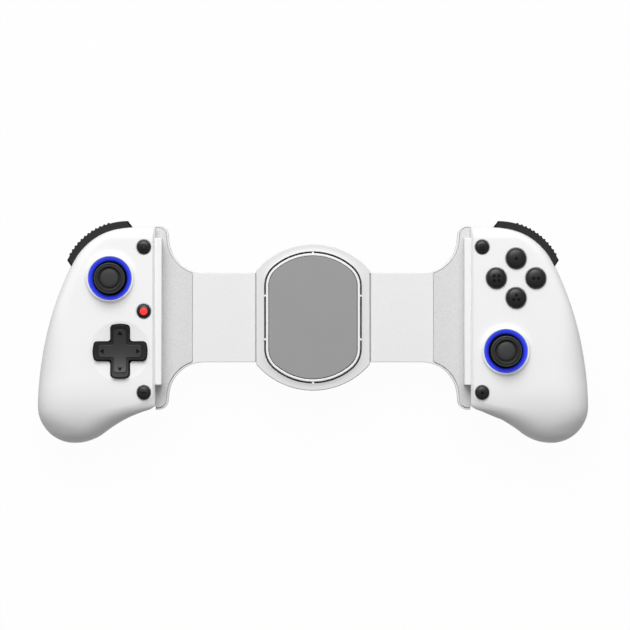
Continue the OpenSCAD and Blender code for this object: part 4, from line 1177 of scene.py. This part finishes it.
for hand in SIDES:
    grip = f"{hand}_grip"
    set_piece(softened(f"{hand}_trigger", 0.4, long_edge=3.0), f"{hand}_finger_trigger", shoulder_black,
              f"{hand}_trigger", [f"{hand}_trigger"])
    set_piece(softened(f"{hand}_slider", 0.3, level=STRIP_TOP), f"{hand}_strip", strip_white,
              grip, [f"{hand}_slider"])
    set_piece(softened(f"{hand}_wing_base", 0.4, long_edge=4.0), f"{hand}_wing_foot", wing_white,
              grip, [f"{hand}_wing_base"])
set_piece(softened("bridge_rear_cover", 0.5, long_edge=20.0), "bridge_back", cover_white, "bridge",
          ["bridge_rear_cover"])
print("softened copies done")

# %% [markdown]
# ## Wings and clamp pads
# The end of each strip flares out beside its grip, and a panel lies in a recess there, with a fine groove all
# round. The clamp pad that meets the phone's end is a plain soft bar along the grip's inner wall.

# %% Wings and clamp pads
WING_LOW, WING_TOP = STRIP_TOP - 0.8, STRIP_TOP + 0.6
STRIP_HALF, SEAM_X, WING_HALF = 21.1, 56.8, 43.5
WING_BAND, WING_GAP = 0.95, 0.14
WING_CORNER_R, FLARE_R = 4.6, 16.5
WING_REACH, FLARE_BACK = 6.0, 5.3
WING_CORNER = Vector((WALL_X - WING_REACH + WING_CORNER_R, WING_HALF - WING_CORNER_R))
FLARE = Vector((SEAM_X - FLARE_BACK, STRIP_HALF + FLARE_R))
SEAM_CORNER, WING_ROUND = 0.8, 0.3
CLAMP_LOW, CLAMP_HIGH, CLAMP_ROUND = (WALL_X - 3.2, -31.7, -1.9), (WALL_X, 37.3, 9.3), 0.45


def wing_outline():
    """Plan of a wing's panel: a round corner runs into a hollow flare that ends at the seam."""
    inset, seam = WING_BAND + WING_GAP, SEAM_X + WING_GAP
    gap = FLARE - WING_CORNER
    turn = math.degrees(math.atan2(gap.y, gap.x)) % 360
    turn -= math.degrees(math.acos((WING_CORNER_R + FLARE_R) / gap.length))
    seam_turn = -math.degrees(math.acos((seam - FLARE.x) / (FLARE_R + inset)))
    upper = [(WALL_X, WING_HALF - inset)]
    upper += arc(WING_CORNER, WING_CORNER_R - inset, 90, turn, 14)
    upper += arc(FLARE, FLARE_R + inset, turn - 180, seam_turn, 28)
    return upper + [(x, -y) for x, y in reversed(upper)]


def wing_panel():
    bm = plate(wing_outline(), WING_LOW, WING_TOP)
    at_seam = [e for e in bm.edges if all(abs(v.co.x - SEAM_X - WING_GAP) < 0.01 for v in e.verts)]
    upright = [e for e in at_seam if e.calc_length() < STRIP_HALF]
    rounded(bm, upright, SEAM_CORNER, 5)
    rounded(bm, rim_edges(bm, WING_TOP), WING_ROUND)
    return bm


for hand, side in SIDES.items():
    grip = f"{hand}_grip"
    set_piece(wing_panel(), f"{hand}_wing_top", wing_white,
              grip, [f"{hand}_wing_cover"], side)
    set_piece(block(CLAMP_LOW, CLAMP_HIGH, CLAMP_ROUND), f"{hand}_clamp_bar", clamp_white,
              grip, [f"{hand}_clamp_pad"], side)
print("wings and clamp pads done")

# %% [markdown]
# ## Centre housing
# The housing's cover has an oval recess. In it lie a dark tray, a white rim with small bridges across the
# groove, and the grey pad that the phone's back rests on.

# %% Housing outlines
HOUSING_X, HOUSING_Y, HOUSING_R, HOUSING_STEPS = 26.8, 34.5, 35.2, 40
REST_X, REST_Y, REST_CORNER, REST_SHOULDER = 20.8, 28.9, 10.2, 14.1
RIM, GROOVE = 1.4, 0.7


def housing_outline():
    lean = math.degrees(math.asin(HOUSING_X / HOUSING_R))
    upper = arc((0, HOUSING_Y - HOUSING_R), HOUSING_R, 90 - lean, 90 + lean, HOUSING_STEPS)
    return upper + [(-x, -y) for x, y in upper]


def rest_outline(grow):
    """The oval of the phone rest: two flat arcs and four tighter corners."""
    r = REST_CORNER + grow
    x, y = REST_X + grow - r, REST_Y - REST_SHOULDER
    rise = REST_SHOULDER + grow - r
    k = (x * x - rise * rise) / (2 * rise)
    turn = math.degrees(math.atan2(k, x))
    first = arc((x, y), r, 0, turn, 14) + arc((0, y - k), k + rise + r, turn, 90, 14)[1:]
    upper = first + [(-px, py) for px, py in reversed(first[:-1])]
    return upper + [(-px, -py) for px, py in upper]


print("rest", 2 * REST_X, "x", 2 * REST_Y, "mm in a housing", 2 * HOUSING_X, "x", 2 * HOUSING_Y, "mm")

# %% [markdown]
# The cover swells a little towards the recess, which a bevelled plate can't do. So it is a stack of rings,
# each a blend between the housing's outline and the recess, and faces join each ring to the next.

# %% Housing cover
COVER_LOW, COVER_TOP, RECESS_FLOOR = -2.6, -0.8, -2.0
COVER_EDGE, SWELL, COVER_STEPS = 0.35, 0.45, 140
RECESS_GAP, FLOOR_LAP = 0.15, 0.4
FAR_OUT = 200.0
COVER_PROFILE = [(0.0, 0.0, COVER_LOW), (0.0, 0.0, COVER_TOP - 0.5), (0.0, 0.12, COVER_TOP - 0.2)]
COVER_PROFILE += [
    (t, COVER_EDGE, COVER_TOP + SWELL * t ** 3) for t in (0.0, 0.25, 0.45, 0.6, 0.72, 0.82, 0.91, 0.97)
]
COVER_PROFILE += [(1.0, 0.0, COVER_TOP + SWELL - 0.1), (1.0, 0.0, COVER_LOW)]


def radius_at(outline, angle):
    """Distance from the middle to an outline, in one direction."""
    far = Vector((math.cos(angle), math.sin(angle))) * FAR_OUT
    for a, b in zip(outline, outline[1:] + outline[:1]):
        hit = geometry.intersect_line_line_2d((0, 0), far, a, b)
        if hit:
            return hit.length
    return 0.0


def housing_cover():
    """The cover as rings: up the outer edge, across to the recess with its swell, and down again."""
    outer, inner = housing_outline(), rest_outline(RIM + GROOVE + RECESS_GAP)
    ends = (0, HOUSING_STEPS, HOUSING_STEPS + 1, 2 * HOUSING_STEPS + 1)
    corners = [math.atan2(outer[i][1], outer[i][0]) for i in ends]
    angles = sorted([2 * math.pi * (i + 0.5) / COVER_STEPS - math.pi for i in range(COVER_STEPS)] + corners)
    bm = bmesh.new()
    loops = []
    for share, inset, z in COVER_PROFILE:
        loop = []
        for angle in angles:
            edge, recess = radius_at(outer, angle) - inset, radius_at(inner, angle)
            r = edge + (recess - edge) * share
            loop.append(bm.verts.new((r * math.cos(angle), r * math.sin(angle), z)))
        loops.append(loop)
    for first, second in zip(loops, loops[1:] + loops[:1]):
        for i in range(len(angles)):
            j = (i + 1) % len(angles)
            bm.faces.new((first[i], first[j], second[j], second[i]))
    bmesh.ops.recalc_face_normals(bm, faces=bm.faces)
    return joined(bm, plate(rest_outline(RIM + GROOVE + FLOOR_LAP), COVER_LOW, RECESS_FLOOR))


cover = set_piece(
    housing_cover(), "bridge_cover", cover_white, "bridge", ["bridge_front_cover"],
)
print(cover.name, len(cover.data.polygons), "faces")

# %% [markdown]
# The rim is a flat ring with a round upper edge, and six small bridges hold it across the dark groove. A thin
# grey bar at each mouth of the housing, under the cover's edge, is painted shade for the gap where the strip
# slides in.

# %% Rim, rest pad and lips
RIM_LOW, RIM_TOP, RIM_EDGE = -1.4, -0.3, 0.4
PAD_GAP, PAD_TOP, PAD_ROUND = 0.2, 0.0, 0.3
BRIDGE_TOP, BRIDGE_REACH, BRIDGE_BACK = -0.75, 0.55, 0.45
END_BRIDGE, SIDE_BRIDGE, SIDE_BRIDGE_Y = 0.5, 0.45, 10.3
GAP_SHADE_HALF, GAP_SHADE_Y, GAP_SHADE_LOW = 0.45, 21.0, -2.78
BOTH = (-1, 1)


def ring_plate(outer, inner, low, high, edge):
    """A flat ring between two outlines with the same count of points, pulled up and rounded."""
    bm = bmesh.new()
    for outline in (outer, inner):
        loop = [bm.verts.new((x, y, low)) for x, y in outline]
        for a, b in zip(loop, loop[1:] + loop[:1]):
            bm.edges.new((a, b))
    bmesh.ops.bridge_loops(bm, edges=bm.edges[:])
    pulled_up(bm, high - low)
    rounded(bm, rim_edges(bm, high), edge)
    return bm


def small_block(x, y, half_x, half_y, low, high):
    return block((x - half_x, y - half_y, low), (x + half_x, y + half_y, high))


across = RIM + GROOVE - BRIDGE_BACK
bridges = [
    small_block(0, end * (REST_Y + across), END_BRIDGE, BRIDGE_REACH, RIM_LOW, BRIDGE_TOP) for end in BOTH
]
bridges += [
    small_block(end * (REST_X + across), y * SIDE_BRIDGE_Y, BRIDGE_REACH, SIDE_BRIDGE, RIM_LOW, BRIDGE_TOP)
    for end in BOTH for y in BOTH
]
rim = ring_plate(rest_outline(RIM), rest_outline(PAD_GAP), RIM_LOW, RIM_TOP, RIM_EDGE)
set_piece(joined(rim, *bridges), "rest_rim", clamp_white, "bridge", ["pad_rim"])
rest = plate(rest_outline(0.0), RIM_LOW, PAD_TOP, PAD_ROUND)
set_piece(rest, "grey_rest", rest_grey, "bridge", ["rest_pad"])
# Painted shade: grey bars in the housing's mouths stand for the shadow in the slide gap.
gap_shades = [small_block(end * HOUSING_X, 0, GAP_SHADE_HALF, GAP_SHADE_Y, GAP_SHADE_LOW, COVER_LOW) for end in BOTH]
set_piece(joined(*gap_shades), "mouth_gap_shades", gap_shade_grey, "bridge", ())
print("rim with", len(bridges), "bridges, and", len(gap_shades), "gap_shades")

# %% [markdown]
# ## Inside the housing
# Two small tension springs pull the grips together and a folded ribbon carries the signals across. They are
# hidden at rest, but they are part of the object: the spring's wire is a circle swept along a screw line. The
# ribbon, and the rubber mats below the keys, are softened copies.

# %% Springs, ribbon and mats
WIRE_R, WIRE_SIDES = 0.22, 10
COILS, STEPS_PER_COIL = 9, 24
MATS = {"dpad_mat": "left_grip", "face_mat": "right_grip"}


def spring(node):
    """A coil that fills the box of a packed spring: the wire's circle is swept along a screw line."""
    low, high = [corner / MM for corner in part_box(node)]
    coil_r = (high.z - low.z) / 2 - WIRE_R
    steps = COILS * STEPS_PER_COIL
    bm = bmesh.new()
    start = Matrix.Translation((0, -coil_r, 0)) @ Matrix.Rotation(math.radians(90), 4, "Z")
    bmesh.ops.create_circle(bm, segments=WIRE_SIDES, radius=WIRE_R, matrix=start)
    bmesh.ops.spin(
        bm, geom=bm.verts[:] + bm.edges[:], cent=(0, 0, 0), axis=(1, 0, 0), angle=2 * math.pi * COILS,
        dvec=((high.x - low.x - 2 * WIRE_R) / steps, 0, 0), steps=steps,
    )
    bmesh.ops.holes_fill(bm, edges=[e for e in bm.edges if len(e.link_faces) == 1], sides=0)
    bmesh.ops.recalc_face_normals(bm, faces=bm.faces)
    centre = sum((vertex.co for vertex in bm.verts), Vector()) / len(bm.verts)
    bmesh.ops.translate(bm, vec=(low + high) / 2 - centre, verts=bm.verts)
    return bm


for hand in SIDES:
    set_piece(spring(f"{hand}_return_spring"), f"{hand}_coil", steel, "bridge",
              [f"{hand}_return_spring"])
set_piece(softened("ribbon_cable", 0.05, long_edge=1.0, segments=1), "folded_ribbon", ribbon_brown, "bridge",
          ["ribbon_cable"])
for mat, grip in MATS.items():
    set_piece(softened(mat, 0.25, long_edge=1.5), f"{mat}_rubber", mat_silicone, grip, [mat])
print("springs of", COILS, "turns, a ribbon and", len(MATS), "mats")

# %% [markdown]
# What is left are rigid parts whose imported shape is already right: screws, pins, gear, boards, the stick
# modules, the battery, the charging inlet and the tray below the rim. They only need their finishes.

# %% Finishes of the small parts
SMALL_PARTS = {
    steel: ["screws", "pin", "housing", "lever", "inlet"],
    gear_grey: ["gear", "gimbal", "rocker"],
    stick_rubber: ["hub"],
    board_green: ["board"],
    cell_foil: ["battery"],
    groove_black: ["tray"],
}
finished = 0
for name, part in nodes.items():
    for material, words in SMALL_PARTS.items():
        if name.endswith(tuple(words)) and not part.hide_render:
            part.data.materials.clear()
            part.data.materials.append(material)
            finished += 1
print(finished, "small parts have their finish")

# %% [markdown]
# ## Floor and light
# The controller lies on paper that is lit from below and looks almost white. To the camera and in mirrored
# light the paper mostly glows. Scattered light meets its plain grey, so it throws little back on the handles.

# %% Floor
FLOOR_GAP, FLOOR_HALF = 0.0004, 3.0
PAPER_GREY, PAPER_GLOW, GLOW_SHARE = 0.28, 1.045, 0.93

floor_bm = bmesh.new()
bmesh.ops.create_grid(floor_bm, x_segments=1, y_segments=1, size=FLOOR_HALF)
bmesh.ops.translate(floor_bm, vec=(0, 0, cad_box[0][2] - FLOOR_GAP), verts=floor_bm.verts)
floor = as_object(floor_bm, "paper_floor")
paper = bpy.data.materials.new("paper")
paper.use_nodes = True
tree = paper.node_tree
diffuse = tree.nodes["Principled BSDF"]
diffuse.inputs["Base Color"].default_value = (PAPER_GREY, PAPER_GREY, PAPER_GREY, 1.0)
diffuse.inputs["Roughness"].default_value = 0.9
diffuse.inputs["Specular IOR Level"].default_value = 0.1
glow = tree.nodes.new("ShaderNodeEmission")
glow.inputs["Strength"].default_value = PAPER_GLOW
path = tree.nodes.new("ShaderNodeLightPath")
seen = math_node(tree, "MAXIMUM", path.outputs["Is Camera Ray"], path.outputs["Is Glossy Ray"])
seen = math_node(tree, "MAXIMUM", seen, path.outputs["Is Transmission Ray"])
mix = tree.nodes.new("ShaderNodeMixShader")
tree.links.new(math_node(tree, "MULTIPLY", seen, GLOW_SHARE), mix.inputs["Fac"])
tree.links.new(diffuse.outputs[0], mix.inputs[1])
tree.links.new(glow.outputs[0], mix.inputs[2])
tree.links.new(mix.outputs[0], tree.nodes["Material Output"].inputs["Surface"])
floor.data.materials.append(paper)
print("floor at", round(cad_box[0][2] / MM, 1), "mm")

# %% [markdown]
# One wide lamp above the shoulders gives the soft fall of light down the handles, and a sky that is brighter
# on the lamp's side fills in.

# %% Lamp and sky
LAMP_PLACE, LAMP_SIZE, LAMP_POWER = Vector((-0.12, 0.95, 1.3)), 1.2, 23.5
SKY_DIM, SKY_BRIGHT = 0.12, 0.6

lamp_data = bpy.data.lights.new("shoulder_lamp", "AREA")
lamp_data.shape = "DISK"
lamp_data.size = LAMP_SIZE
lamp_data.energy = LAMP_POWER
lamp = bpy.data.objects.new("shoulder_lamp", lamp_data)
lamp.location = LAMP_PLACE
lamp.rotation_euler = (-LAMP_PLACE).to_track_quat("-Z", "Y").to_euler()
scene.collection.objects.link(lamp)

sky = bpy.data.worlds.new("studio_sky")
scene.world = sky
sky.use_nodes = True
tree = sky.node_tree
background = tree.nodes["Background"]
background.inputs["Color"].default_value = (1.0, 1.0, 1.0, 1.0)
direction = tree.nodes.new("ShaderNodeSeparateXYZ")
tree.links.new(tree.nodes.new("ShaderNodeTexCoord").outputs["Generated"], direction.inputs[0])
level = spread(tree, direction.outputs["Y"], SKY_DIM, SKY_BRIGHT, -1.0, 1.0)
tree.links.new(level, background.inputs["Strength"])
print("lamp of", LAMP_POWER, "W under a sky of", SKY_DIM, "to", SKY_BRIGHT)

# %% [markdown]
# Last, the scene is brought up to date.

# %% Bring the scene up to date
bpy.context.view_layer.update()
